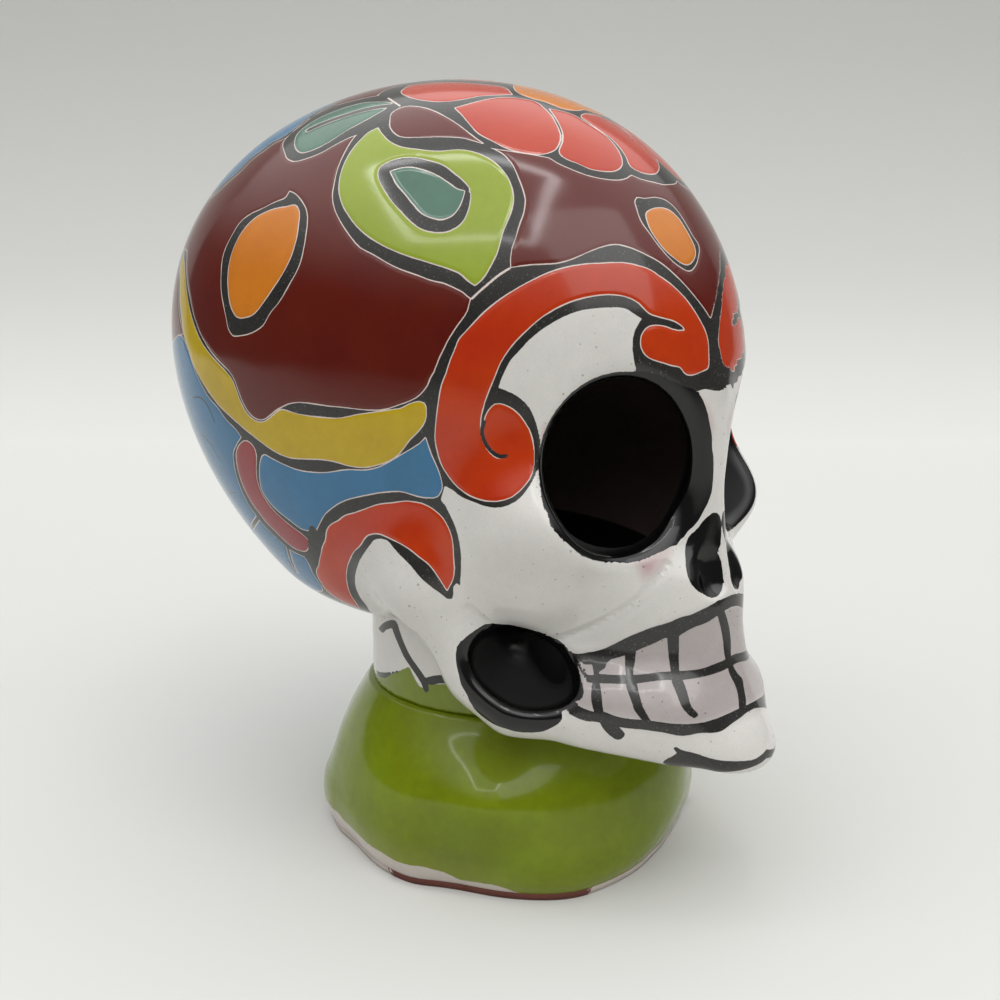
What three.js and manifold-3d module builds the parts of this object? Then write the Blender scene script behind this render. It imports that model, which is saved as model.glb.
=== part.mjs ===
// Painted sugar skull of glazed earthenware. A hollow skull with pierced eyes and cheeks stands on a
// short neck and an open, bell-shaped base. +Z is up and the face looks along -Y.
// The clay parts are those that a potter casts and lutes together: the rear of the cranium, the face,
// the lower jaw, two rows of teeth, the neck, the bell and the bare foot.
import * as THREE from 'three';
import { mergeVertices } from 'three/addons/utils/BufferGeometryUtils.js';
import Module from 'manifold-3d';

const wasm = await Module();
wasm.setup();

// Clay, in millimetres
const wall = 6.5;
const seam = 0.3;

// Cranium: an egg that leans back, narrower at the face and flattened below, where it stands on the neck
const craniumHalfWidth = 76.4;
const craniumHalfLength = 97.8;
const craniumHalfHeight = 87.5;
const craniumLean = 26.6;
const craniumNarrowing = 0.174;
const craniumFlattening = -0.111;
const craniumBehindNeck = 23.9;
const craniumRiseShare = 1.07;
const undersideShare = -0.847;
const undersideBlendShare = 0.168;

// Face forms. Places are shares of the cranium's half width, length and height from its centre.
const cheekbone = {
  placeShares: [0.465, -0.682, -0.401],
  sizeShares: [0.22, 0.201, 0.145],
  blendShare: 0.235,
};
const cheekArch = {
  startShares: [0.445, -0.64, -0.582],
  endShares: [0.627, -0.392, -0.581],
  radiusShares: [0.103, 0.154],
  blendShare: 0.235,
};
const upperJaw = {
  placeShares: [0, -0.715, -0.625],
  sizeShares: [0.366, 0.317, 0.274],
  blendShare: 0.157,
};
const noseRidge = {
  startShares: [0, -0.919, -0.008],
  endShares: [0, -0.975, -0.511],
  radiusShares: [0.079, 0.06],
  blendShare: 0.092,
};

// Lower jaw: a block with a round point in plan, leaning out to the chin, and a bar back to the ear.
// Its underside rises backwards, and clears the bell where it comes over the neck.
const jawPointRadius = 17;
const jawReachShare = 1.037;
const jawLeanShare = 0.107;
const jawTopShare = -0.488;
const jawBottomShare = -1.126;
const jawOverNeck = 1.3;
const jawBackShares = { side: 0.226, back: 0.27 };
const jawEdgeShare = 0.118;
const jawBlendShare = 0.079;
const chinReachShare = 0.087;
const chinPlaceShare = -1.105;
const chinSpreadShare = 0.171;
const jawBarShares = [
  { place: [0.183, -0.96, -0.979], radius: 0.131 },
  { place: [0.488, -0.629, -0.944], radius: 0.124 },
  { place: [0.558, -0.543, -0.869], radius: 0.111 },
  { place: [0.643, -0.429, -0.622], radius: 0.134 },
];
const jawBarBlendShare = 0.105;

// Eye sockets, pierced through the wall with a rounded lip
const socketHalfWidth = 19.2;
const socketHalfHeight = 22;
const socketLip = 2.2;
const socketProfileShares = [
  [-3, -0.5],
  [-0.9, -0.5],
  [0, 0.3],
  [0.6, 1.6],
  [3, 5],
];
const socketPlaceShares = [0.352, -0.889, -0.225];
const socketTurn = 37.7;
const socketTip = 1.7;

// Cheek openings between cheekbone and jaw
const cheekOpeningHalfLength = 13;
const cheekOpeningHalfHeight = 12.5;
const cheekOpeningHalfDepth = 28;
const cheekOpeningPlaceShares = [0.576, -0.674, -0.819];
const cheekOpeningTurn = 20;

// Nostrils, pressed in as drops that widen downwards
const nostrilWidth = 8.5;
const nostrilDepth = 5;
const nostrilTaper = 0.45;
const nostrilHeightShare = 0.62;
const nostrilTopShares = [0.062, -0.39];
const nostrilFootShares = [0.085, -0.545];

// Teeth: two rows of crowns that meet at the bite, set into the wall. Each line round the jaw is a
// share of the cranium's half height at the front, and falls towards the back.
const teethDepth = 3;
const crownRelief = 1.1;
const crownEdgeShares = [0, 0.34, 0.58, 0.79, 1];
const teethTurn = 57;
const teethAxisShare = -0.551;
const gumLine = { frontShare: -0.66, fall: 0.45 };
const biteLine = { frontShare: -0.831, fall: 0.11 };
const lipLine = { frontShare: -0.978, fall: -0.13 };
const crownSteps = 5;
const crownHeightSteps = 3;
const seatOverrun = 2.2;

// Where the shell is parted
const partingShare = -0.142;
const jawBackShare = -0.47;
const neckHoleRadius = 30;

// Neck and base
const neckRadius = 43.6;
const neckWaist = 0.8;
const neckHeight = 30;
const neckWaistShare = 0.33;
const bellHeight = 49;
const bellRadius = 58;
const bellShares = [
  [0.953, 0.05],
  [0.983, 0.13],
  [1, 0.27],
  [0.99, 0.38],
  [0.955, 0.57],
  [0.894, 0.75],
  [0.836, 0.88],
  [0.772, 1],
];
const footHeight = 2;
const footSetBack = 1;
const footTaper = 0.6;

// Facets
const skinSpokes = 52;
const skinRings = 42;
const hollowSpokes = 32;
const hollowRings = 24;
const turningSegments = 40;
const socketSegments = 28;
const openingFacets = [20, 14];
const nostrilFacets = [14, 10];
const throatFacets = [18, 12];

// How closely a ray finds the surface
const finestStepShare = 0.025;
const halvings = 24;

// Colours, roughness and sheen of the finishes
const glaze = (color) => new THREE.MeshStandardMaterial({ color, roughness: 0.12, metalness: 0 });
const burgundyGlaze = glaze(0x5e1a14);
const whiteGlaze = glaze(0xe6e2dc);
const jawGlaze = glaze(0xded9d2);
const upperTeethGlaze = glaze(0xcdc4bf);
const lowerTeethGlaze = glaze(0xc8bfba);
const neckGlaze = glaze(0xd8d4cc);
const limeGlaze = glaze(0x7f9e2e);
const bareClay = new THREE.MeshStandardMaterial({ color: 0x8a4a35, roughness: 0.85, metalness: 0 });

const radians = THREE.MathUtils.degToRad;
const vec = (x, y, z) => new THREE.Vector3(x, y, z);

const craniumHalf = vec(craniumHalfWidth, craniumHalfLength, craniumHalfHeight);
const craniumCentre = vec(0, craniumBehindNeck, bellHeight + craniumHalfHeight * craniumRiseShare);
const fromCranium = ([x, y, z]) => vec(x, y, z).multiply(craniumHalf).add(craniumCentre);
const ofCranium = ([x, y, z]) => vec(x, y, z).multiply(craniumHalf);
const acrossCranium = (share) => share * craniumHalfWidth;

// Rounded joins of two fields: k is how wide the round is
function joinRound(a, b, k) {
  const h = Math.max(k - Math.abs(a - b), 0) / k;
  return Math.min(a, b) - (h * h * k) / 4;
}
const cutRound = (a, b, k) => -joinRound(-a, -b, k);

// About how far a point is from an ellipsoid
function fromEllipsoid(point, centre, half) {
  const p = point.clone().sub(centre).divide(half);
  const slope = p.clone().divide(half).length();
  return slope > 0 ? (p.length() * (p.length() - 1)) / slope : -half.x;
}

function fromCapsule(point, start, end, startRadius, endRadius) {
  const along = end.clone().sub(start);
  const share = point.clone().sub(start).dot(along) / along.lengthSq();
  const t = THREE.MathUtils.clamp(share, 0, 1);
  const nearest = along.multiplyScalar(t).add(start);
  return point.distanceTo(nearest) - THREE.MathUtils.lerp(startRadius, endRadius, t);
}

function fromEgg(point) {
  const p = point.clone().sub(craniumCentre).applyAxisAngle(vec(1, 0, 0), -radians(craniumLean));
  const back = p.y / craniumHalfLength;
  const half = vec(
    craniumHalfWidth * (1 + craniumNarrowing * back),
    craniumHalfLength,
    craniumHalfHeight * (1 + craniumFlattening * back),
  );
  const underside = craniumCentre.z + undersideShare * craniumHalfHeight - point.z;
  return cutRound(fromEllipsoid(p, vec(0, 0, 0), half), underside, acrossCranium(undersideBlendShare));
}

// How far forward the jaw's front reaches at a height
function jawFront(z) {
  const height = (z - craniumCentre.z) / craniumHalfHeight;
  const lean = jawLeanShare * (jawTopShare - height);
  const chin = chinReachShare * Math.exp(-(((height - chinPlaceShare) / chinSpreadShare) ** 2));
  return craniumCentre.y - craniumHalfLength * (jawReachShare + lean + chin);
}

function fromJaw(point) {
  const front = jawFront(point.z) + jawPointRadius;
  const { side, back } = jawBackShares;
  const plan = vec(point.x, point.y - front, 0);
  const corner = vec(side * craniumHalfWidth, back * craniumHalfLength, 0);
  const bottom = craniumCentre.z + jawBottomShare * craniumHalfHeight;
  const behindFace = point.y - craniumCentre.y + craniumHalfLength;
  const neckBehindFace = craniumHalfLength - craniumCentre.y - neckRadius;
  const rise = (behindFace * (bellHeight + jawOverNeck - bottom)) / neckBehindFace;
  const edge = acrossCranium(jawEdgeShare);
  let jaw = fromCapsule(plan, vec(0, 0, 0), corner, jawPointRadius, jawPointRadius);
  jaw = cutRound(jaw, bottom - point.z + rise, edge);
  jaw = cutRound(jaw, point.z - craniumCentre.z - jawTopShare * craniumHalfHeight + edge / 2, edge);
  return jaw;
}

// The form that is cast hollow, as one field, less than zero inside
function fromCast(point) {
  const upper = fromEllipsoid(point, fromCranium(upperJaw.placeShares), ofCranium(upperJaw.sizeShares));
  const head = joinRound(fromEgg(point), upper, acrossCranium(upperJaw.blendShare));
  return joinRound(head, fromJaw(point), acrossCranium(jawBlendShare));
}

// The skull's outside: the cast form with its cheeks, nose and the jaw's solid bars
function fromSkull(point) {
  let skull = fromCast(point);
  const cheekCentre = fromCranium(cheekbone.placeShares);
  const cheek = fromEllipsoid(point, cheekCentre, ofCranium(cheekbone.sizeShares));
  skull = joinRound(skull, cheek, acrossCranium(cheekbone.blendShare));
  for (const form of [cheekArch, noseRidge]) {
    const ends = [fromCranium(form.startShares), fromCranium(form.endShares)];
    const bar = fromCapsule(point, ...ends, ...form.radiusShares.map(acrossCranium));
    skull = joinRound(skull, bar, acrossCranium(form.blendShare));
  }
  for (let i = 1; i < jawBarShares.length; i++) {
    const [from, to] = [jawBarShares[i - 1], jawBarShares[i]];
    const radii = [from, to].map((end) => acrossCranium(end.radius));
    const bar = fromCapsule(point, fromCranium(from.place), fromCranium(to.place), ...radii);
    skull = joinRound(skull, bar, acrossCranium(jawBarBlendShare));
  }
  return skull;
}

// Goes in along a ray until a field falls to a level, then halves the last step. Both sides are alike.
function reach(form, origin, direction, level) {
  const point = vec(0, 0, 0);
  const at = (length) => {
    point.copy(direction).multiplyScalar(length).add(origin);
    point.x = Math.abs(point.x);
    return form(point) - level;
  };
  const finest = wall * finestStepShare;
  let outer = 2 * craniumHalfLength;
  let inner = outer;
  while (inner > 0) {
    const left = at(inner);
    if (left <= 0) break;
    outer = inner;
    inner -= Math.max(left / 2, finest);
  }
  for (let i = 0; i < halvings; i++) {
    const middle = (outer + inner) / 2;
    if (at(middle) > 0) outer = middle;
    else inner = middle;
  }
  return direction.clone().multiplyScalar(inner).add(origin);
}

// Solids from closed geometries, and back
function solid(geometry) {
  const bare = geometry.clone();
  bare.deleteAttribute('normal');
  bare.deleteAttribute('uv');
  const merged = mergeVertices(bare);
  const vertProperties = new Float32Array(merged.attributes.position.array);
  const triVerts = new Uint32Array(merged.index.array);
  return new wasm.Manifold(new wasm.Mesh({ numProp: 3, vertProperties, triVerts }));
}

function geometryOf(manifold) {
  const mesh = manifold.getMesh();
  const geometry = new THREE.BufferGeometry();
  geometry.setAttribute('position', new THREE.BufferAttribute(new Float32Array(mesh.vertProperties), 3));
  geometry.setIndex(new THREE.BufferAttribute(new Uint32Array(mesh.triVerts), 1));
  geometry.computeVertexNormals();
  return geometry;
}

// A ball whose points are drawn out to the skull's surface, with its pole and finest rings at the mouth
const skinCentre = fromCranium([0, -0.33, -0.35]);
const mouth = fromCranium([0, -1.02, -0.75]);
function skin(form, level, spokes, rings) {
  const ball = new THREE.SphereGeometry(1, spokes, rings);
  const pole = mouth.clone().sub(skinCentre).normalize();
  const toMouth = new THREE.Quaternion().setFromUnitVectors(vec(0, 1, 0), pole);
  const points = ball.attributes.position;
  for (let i = 0; i < points.count; i++) {
    const direction = vec(0, 0, 0).fromBufferAttribute(points, i);
    const polar = Math.acos(THREE.MathUtils.clamp(direction.y, -1, 1)) / Math.PI;
    const around = Math.atan2(direction.z, direction.x);
    direction.setFromSphericalCoords(1, (Math.PI * (polar + polar * polar)) / 2, 0);
    direction.applyAxisAngle(vec(0, 1, 0), -around);
    const place = reach(form, skinCentre, direction.applyQuaternion(toMouth).normalize(), level);
    points.setXYZ(i, place.x, place.y, place.z);
  }
  return solid(ball);
}

// A block that takes what lies below a plane through a point, with that side facing the normal
const blockSize = 8 * craniumHalfLength;
function below(point, normal) {
  const block = new THREE.BoxGeometry(blockSize, blockSize, blockSize);
  block.translate(0, 0, -blockSize / 2);
  const turn = new THREE.Quaternion().setFromUnitVectors(vec(0, 0, 1), normal.clone().normalize());
  block.applyQuaternion(turn);
  block.translate(point.x, point.y, point.z);
  return solid(block);
}

// Eye cutter: an oval plug that opens towards its mouth, so that the rim is soft
function socket(side) {
  const profile = socketProfileShares.map(
    ([depth, flare]) => new THREE.Vector2(socketHalfWidth + flare * socketLip, depth * wall),
  );
  profile.unshift(new THREE.Vector2(0, profile[0].y));
  profile.push(new THREE.Vector2(0, profile.at(-1).y));
  const plug = new THREE.LatheGeometry(profile, socketSegments);
  plug.scale(1, 1, socketHalfHeight / socketHalfWidth);
  plug.rotateX(Math.PI - radians(socketTip));
  plug.rotateZ(side * radians(socketTurn));
  const place = fromCranium(socketPlaceShares);
  plug.translate(side * place.x, place.y, place.z);
  return solid(plug);
}

function cheekOpening(side) {
  const hole = new THREE.SphereGeometry(1, ...openingFacets);
  hole.scale(cheekOpeningHalfDepth, cheekOpeningHalfLength, cheekOpeningHalfHeight);
  hole.rotateZ(-side * radians(cheekOpeningTurn));
  const place = fromCranium(cheekOpeningPlaceShares);
  hole.translate(side * place.x, place.y, place.z);
  return solid(hole);
}

function nostril(side) {
  const drop = new THREE.SphereGeometry(1, ...nostrilFacets);
  drop.rotateX(Math.PI / 2);
  const [top, foot] = [nostrilTopShares, nostrilFootShares].map(([x, z]) => fromCranium([x, 0, z]));
  const halfHeight = (top.z - foot.z) * nostrilHeightShare;
  const points = drop.attributes.position;
  for (let i = 0; i < points.count; i++) {
    const height = points.getZ(i);
    const width = (points.getX(i) * nostrilWidth * (1 - nostrilTaper * Math.max(height, 0))) / 2;
    points.setXYZ(i, width, points.getY(i) * nostrilDepth, height * halfHeight);
  }
  drop.rotateY(side * Math.atan2(top.x - foot.x, top.z - foot.z));
  const middle = top.add(foot).divideScalar(2);
  const front = reach(fromSkull, vec(middle.x, skinCentre.y, middle.z), vec(0, -1, 0), 0);
  drop.translate(side * middle.x, front.y, middle.z);
  return solid(drop);
}

// A line of the teeth as a plane that falls to the back, and the height of a point on it
const frontOf = (line) => {
  const z = craniumCentre.z + line.frontShare * craniumHalfHeight;
  return vec(0, jawFront(z), z);
};
const heightAt = (line, y) => frontOf(line).z - line.fall * (y - frontOf(line).y);

// A row of crowns as a band lofted round the jaw, from one back tooth to the other. Grown by a
// clearance, and without its crowns, it is the seat that the row lies in.
function toothRow(upper, lower, clearance) {
  const axisY = craniumCentre.y + teethAxisShare * craniumHalfLength;
  const half = radians(teethTurn);
  const extra = clearance / ((axisY - frontOf(lower).y) * half);
  const count = 2 * (crownEdgeShares.length - 1) * crownSteps;
  const stations = [];
  for (let i = 0; i <= count; i++) {
    const step = Math.abs(i - count / 2) / crownSteps;
    const tooth = Math.min(Math.floor(step), crownEdgeShares.length - 2);
    const across = step - tooth;
    const share = THREE.MathUtils.lerp(crownEdgeShares[tooth], crownEdgeShares[tooth + 1], across);
    const turn = Math.sign(i - count / 2) * share * half;
    stations.push({ turn: turn * (1 + extra), bulge: Math.sqrt(Math.sin(Math.PI * across)) });
  }
  const points = [];
  for (const { turn, bulge } of stations) {
    for (let j = 0; j <= crownHeightSteps; j++) {
      const share = j / crownHeightSteps;
      const low = heightAt(lower, axisY) - clearance;
      const high = heightAt(upper, axisY) + clearance;
      const fall = THREE.MathUtils.lerp(lower.fall, upper.fall, share);
      const origin = vec(0, axisY, THREE.MathUtils.lerp(low, high, share));
      const direction = vec(Math.sin(turn), -Math.cos(turn), Math.cos(turn) * fall);
      const crown = crownRelief * Math.sqrt(Math.sin(Math.PI * share)) * bulge;
      const outside = reach(fromSkull, origin, direction, clearance > 0 ? seatOverrun : crown);
      const inside = reach(fromSkull, origin, direction, -teethDepth - clearance);
      points.push({ outside, inside });
    }
  }
  return loft(points, stations.length, crownHeightSteps + 1);
}

// Closes a grid of outside points over a grid of inside points into one body
function loft(points, columns, rows) {
  const positions = points.flatMap(({ outside, inside }) => [...outside.toArray(), ...inside.toArray()]);
  const at = (column, row, layer) => 2 * (column * rows + row) + layer;
  const index = [];
  const quad = (a, b, c, d) => index.push(a, b, c, a, c, d);
  for (let i = 0; i < columns - 1; i++) {
    for (let j = 0; j < rows - 1; j++) {
      quad(at(i, j, 0), at(i + 1, j, 0), at(i + 1, j + 1, 0), at(i, j + 1, 0));
      quad(at(i, j + 1, 1), at(i + 1, j + 1, 1), at(i + 1, j, 1), at(i, j, 1));
    }
    quad(at(i, 0, 1), at(i + 1, 0, 1), at(i + 1, 0, 0), at(i, 0, 0));
    quad(at(i, rows - 1, 0), at(i + 1, rows - 1, 0), at(i + 1, rows - 1, 1), at(i, rows - 1, 1));
  }
  for (let j = 0; j < rows - 1; j++) {
    quad(at(0, j, 1), at(0, j, 0), at(0, j + 1, 0), at(0, j + 1, 1));
    const last = columns - 1;
    quad(at(last, j, 0), at(last, j, 1), at(last, j + 1, 1), at(last, j + 1, 0));
  }
  const geometry = new THREE.BufferGeometry();
  geometry.setAttribute('position', new THREE.BufferAttribute(new Float32Array(positions), 3));
  geometry.setIndex(index);
  return solid(geometry);
}

// A turned ring from an outside profile of radius and height, with a straight or parallel inside
function ring(outline, thickness) {
  const inside = outline.map(({ x, y }) => new THREE.Vector2(x - thickness, y)).reverse();
  const profile = [...outline, ...inside, outline[0].clone()];
  const turned = new THREE.LatheGeometry(profile, turningSegments);
  turned.rotateX(Math.PI / 2);
  return solid(turned);
}

const column = (radius, low, high) => {
  const rod = new THREE.CylinderGeometry(radius, radius, high - low, turningSegments);
  rod.rotateX(Math.PI / 2);
  rod.translate(0, 0, (low + high) / 2);
  return solid(rod);
};

// The way from the hollow behind the teeth back to the neck's bore, between the jaw's two sides
function throat() {
  const halfLength = jawBackShares.back * craniumHalfLength;
  const middleY = frontOf(biteLine).y + jawPointRadius + halfLength;
  const hole = new THREE.SphereGeometry(1, ...throatFacets);
  hole.scale(neckHoleRadius - wall, halfLength, jawPointRadius - wall);
  hole.translate(0, middleY, heightAt(biteLine, middleY));
  return solid(hole);
}

// The skull's wall, pierced and parted
const skullSkin = skin(fromSkull, 0, skinSpokes, skinRings);
const hollow = skin(fromCast, -wall, hollowSpokes, hollowRings);
const neckHole = column(neckHoleRadius, 0, craniumCentre.z);
let shell = skullSkin.subtract(hollow).subtract(neckHole).subtract(throat());
for (const side of [-1, 1]) {
  shell = shell.subtract(socket(side)).subtract(cheekOpening(side)).subtract(nostril(side));
}

const half = seam / 2;
const partingY = craniumCentre.y + partingShare * craniumHalfLength;
const jawBackY = craniumCentre.y + jawBackShare * craniumHalfLength;
const biteNormal = vec(0, biteLine.fall, 1);
const bite = (lift) => below(frontOf(biteLine).add(vec(0, 0, lift)), biteNormal);
const before = (y) => below(vec(0, y, 0), vec(0, 1, 0));
const behind = (y) => below(vec(0, y, 0), vec(0, -1, 0));

const rearCranium = shell.intersect(behind(partingY + half));
const jawPart = (grown) => bite(grown).intersect(before(jawBackY + grown));
const upperRow = toothRow(gumLine, biteLine, 0).subtract(bite(half));
const lowerRow = toothRow(biteLine, lipLine, 0).intersect(bite(-half));
const upperSeat = toothRow(gumLine, biteLine, seam);
const lowerSeat = toothRow(biteLine, lipLine, seam);
const face = shell.intersect(before(partingY - half)).subtract(jawPart(half)).subtract(upperSeat);
const mandible = shell.intersect(jawPart(-half)).subtract(lowerSeat);

// The neck is a turned collar whose top is cut to the skull's underside
const neckOutline = [
  new THREE.Vector2(neckRadius, bellHeight + seam),
  new THREE.Vector2(neckRadius - neckWaist, bellHeight + neckHeight * neckWaistShare),
  new THREE.Vector2(neckRadius, bellHeight + neckHeight),
];
const skullSeat = skin(fromSkull, seam, skinSpokes, skinRings);
const neck = ring(neckOutline, wall).subtract(skullSeat);

const bellOutline = bellShares.map(
  ([radius, height]) => new THREE.Vector2(radius * bellRadius, height * bellHeight),
);
bellOutline[0].y = footHeight + seam;
const footRadius = bellOutline[0].x - footSetBack;
const bell = ring(bellOutline, wall);
const footOutline = [
  new THREE.Vector2(footRadius - footTaper, 0),
  new THREE.Vector2(footRadius, footHeight),
];
const foot = ring(footOutline, wall);

const pieces = [
  ['rear_cranium_shell', rearCranium, burgundyGlaze],
  ['face_shell', face, whiteGlaze],
  ['mandible', mandible, jawGlaze],
  ['upper_teeth', upperRow, upperTeethGlaze],
  ['lower_teeth', lowerRow, lowerTeethGlaze],
  ['neck_column', neck, neckGlaze],
  ['base_bell', bell, limeGlaze],
  ['foot_rim', foot, bareClay],
];

const object = new THREE.Group();
for (const [name, piece, material] of pieces) {
  const mesh = new THREE.Mesh(geometryOf(piece), material);
  mesh.name = name;
  object.add(mesh);
}

// The origin is under the middle of the whole, where it stands
const middle = new THREE.Box3().setFromObject(object).getCenter(vec(0, 0, 0));
object.position.set(0, -middle.y, 0);

export default object;
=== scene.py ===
# Painted sugar skull of glazed earthenware, dressed over its clay parts.
# The skull's form is one blended field in millimetres from the neck's axis, and every clay skin is meshed
# from it. The painting is a set of outlines in pixels of the picture, cast from the camera onto that form.
import math
import bpy
import bmesh
import numpy as np
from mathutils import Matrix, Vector


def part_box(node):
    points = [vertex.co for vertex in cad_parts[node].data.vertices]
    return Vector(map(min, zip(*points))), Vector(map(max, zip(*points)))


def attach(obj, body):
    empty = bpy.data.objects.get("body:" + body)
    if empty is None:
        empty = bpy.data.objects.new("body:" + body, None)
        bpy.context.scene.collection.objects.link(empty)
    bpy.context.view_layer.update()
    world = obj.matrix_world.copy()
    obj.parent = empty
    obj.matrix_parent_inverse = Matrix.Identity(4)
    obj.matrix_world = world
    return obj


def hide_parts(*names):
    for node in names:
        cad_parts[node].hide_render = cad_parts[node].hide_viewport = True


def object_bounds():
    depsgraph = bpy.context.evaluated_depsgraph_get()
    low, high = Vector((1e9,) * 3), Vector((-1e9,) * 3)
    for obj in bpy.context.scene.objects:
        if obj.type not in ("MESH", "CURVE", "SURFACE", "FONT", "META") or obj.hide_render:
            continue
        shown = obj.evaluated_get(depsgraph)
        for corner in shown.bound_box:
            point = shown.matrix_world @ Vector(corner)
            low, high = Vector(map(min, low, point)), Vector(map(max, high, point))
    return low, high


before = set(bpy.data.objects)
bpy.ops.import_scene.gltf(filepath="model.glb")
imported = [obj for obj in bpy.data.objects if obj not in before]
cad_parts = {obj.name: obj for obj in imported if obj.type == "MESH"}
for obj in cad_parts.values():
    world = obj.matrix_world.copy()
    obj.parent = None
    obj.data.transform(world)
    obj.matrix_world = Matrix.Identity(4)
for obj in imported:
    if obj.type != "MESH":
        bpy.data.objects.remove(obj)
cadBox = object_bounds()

print("frame loaded:", sorted(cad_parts))

mm = 0.001
bellLow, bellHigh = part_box("base_bell")
neckLow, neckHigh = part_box("neck_column")
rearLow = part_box("rear_cranium_shell")[0]
axisOffset = np.array([(bellLow.x + bellHigh.x) / 2, (bellLow.y + bellHigh.y) / 2, 0])


def inMillimetres(places):
    return (np.asarray(places, float) - axisOffset) / mm


def inMetres(places):
    return np.asarray(places, float) * mm + axisOffset


# Form of the skull, in millimetres from the neck's axis at the floor. The near side is -X.
skull = {
    "wall": 6.5,
    "craniumCentre": (0, 23.9, 142.6),
    "craniumHalf": (76.4, 97.8, 87.5),
    "craniumLean": 26.6,
    "craniumNarrowing": 0.174,
    "craniumFlattening": -0.111,
    "underside": 68.5,
    "undersideBlend": 12.8,
    "cheekbone": {"centre": (35.5, -42.8, 107.5), "half": (16.8, 19.7, 12.7), "blend": 18},
    "cheekArch": {"start": (34, -38.7, 91.7), "end": (47.9, -14.4, 91.8), "radii": (7.9, 11.8), "blend": 18},
    "upperJaw": {"centre": (0, -46, 88), "half": (28, 31, 24), "blend": 12},
    "noseRidge": {"start": (0, -66, 142), "end": (0, -71.5, 98), "radii": (6, 4.6), "blend": 7},
    "jawPoint": 17,
    "jawCorner": (17.3, 26.4),
    "jawFront": -77.5,
    "jawLean": 0.12,
    "chin": {"reach": 8.5, "height": 46, "spread": 15},
    "jawTop": 100,
    "jawBottom": 44.1,
    "jawRise": {"slope": 0.205, "from": 73.9},
    "jawEdge": 9,
    "jawBlend": 6,
    "jawBars": [((14, -70, 57), 10), ((37.3, -37.6, 60), 9.5), ((42.6, -29.2, 66.6), 8.5),
                ((49.1, -18.1, 88.2), 10.2)],
    "jawBarBlend": 8,
    "neckHole": {"radius": 30, "top": 100},
}
openings = {
    "socketCentre": (26.9, -63, 123),
    "socketTurn": 37.7,
    "socketHalf": (19.2, 22),
    "socketRound": 5,
    "socketDepth": 26,
    "cheekCentre": (44, -45.1, 69),
    "cheekHalf": (19, 14.4, 9.2),
    "cheekTurn": 35.2,
    "cheekLean": 21.2,
    "cheekRound": 4,
    "nostrilTop": (4, -78, 109),
    "nostrilMiddle": (6.5, -79, 98),
    "nostrilFoot": (6.5, -80, 93),
    "nostrilRadii": (2, 5),
    "nostrilRound": 2,
}
teeth = {
    "axisY": -30,
    "relief": 0.38,
    "edges": (0, 19.4, 33, 45, 57),
    "gumLine": (84.9, 0.45),
    "biteLine": (69.9, 0.11),
    "lipLine": (57, -0.13),
    "groove": 0.2,
    "grooveWidth": 1.6,
    "depth": 32,
    "fade": 10,
    "least": 0.35,
}


def joinRound(a, b, blend):
    overlap = np.maximum(blend - np.abs(a - b), 0) / blend
    return np.minimum(a, b) - overlap * overlap * blend / 4


def cutRound(a, b, blend):
    return -joinRound(-a, -b, blend)


# Both sides are alike: forms are worked out on the +X side, and the painting on the -X side of the picture
def oneSide(p):
    return np.abs(p) * (1, 0, 0) + p * (0, 1, 1)


def picturedSide(p):
    return oneSide(p) * (-1, 1, 1)


def fromEllipsoid(p, centre, half):
    q = (p - centre) / half
    size = np.linalg.norm(q, axis=1)
    slope = np.linalg.norm(q / half, axis=1) + 1e-9
    return size * (size - 1) / slope


def fromCapsule(p, start, end, startRadius, endRadius):
    start, end = np.array(start, float), np.array(end, float)
    along = end - start
    share = np.clip((p - start) @ along / (along @ along), 0, 1)
    gap = np.linalg.norm(p - start - share[:, None] * along, axis=1)
    return gap - startRadius - (endRadius - startRadius) * share


def turned(p, centre, lean=0, turn=0):
    q = p - np.array(centre, float)
    c, s = math.cos(math.radians(turn)), math.sin(math.radians(turn))
    q = np.stack([q[:, 0] * c - q[:, 1] * s, q[:, 0] * s + q[:, 1] * c, q[:, 2]], 1)
    c, s = math.cos(math.radians(lean)), math.sin(math.radians(lean))
    return np.stack([q[:, 0], q[:, 1] * c + q[:, 2] * s, -q[:, 1] * s + q[:, 2] * c], 1)


def fromEgg(p):
    q = turned(p, skull["craniumCentre"], lean=skull["craniumLean"])
    wide, long, high = skull["craniumHalf"]
    back = q[:, 1] / long
    half = np.stack([wide * (1 + skull["craniumNarrowing"] * back), np.full(len(q), long),
                     high * (1 + skull["craniumFlattening"] * back)], 1)
    egg = fromEllipsoid(q, np.zeros(3), half)
    return cutRound(egg, skull["underside"] - p[:, 2], skull["undersideBlend"])


# How far forward the jaw's front stands at a height
def jawFront(z):
    chin = skull["chin"]
    lean = skull["jawLean"] * (skull["jawTop"] - z)
    return skull["jawFront"] - lean - chin["reach"] * np.exp(-((z - chin["height"]) / chin["spread"]) ** 2)


def fromJaw(p):
    z, radius, edge = p[:, 2], skull["jawPoint"], skull["jawEdge"]
    plan = np.stack([p[:, 0], p[:, 1] - jawFront(z) - radius, np.zeros(len(p))], 1)
    jaw = fromCapsule(plan, (0, 0, 0), (*skull["jawCorner"], 0), radius, radius)
    rise = skull["jawRise"]["slope"] * (p[:, 1] + skull["jawRise"]["from"])
    jaw = cutRound(jaw, skull["jawBottom"] - z + rise, edge)
    return cutRound(jaw, z - skull["jawTop"] + edge / 2, edge)


# The form that is cast hollow
def fromCast(p):
    upper = fromEllipsoid(p, skull["upperJaw"]["centre"], np.array(skull["upperJaw"]["half"], float))
    head = joinRound(fromEgg(p), upper, skull["upperJaw"]["blend"])
    return joinRound(head, fromJaw(p), skull["jawBlend"])


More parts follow.
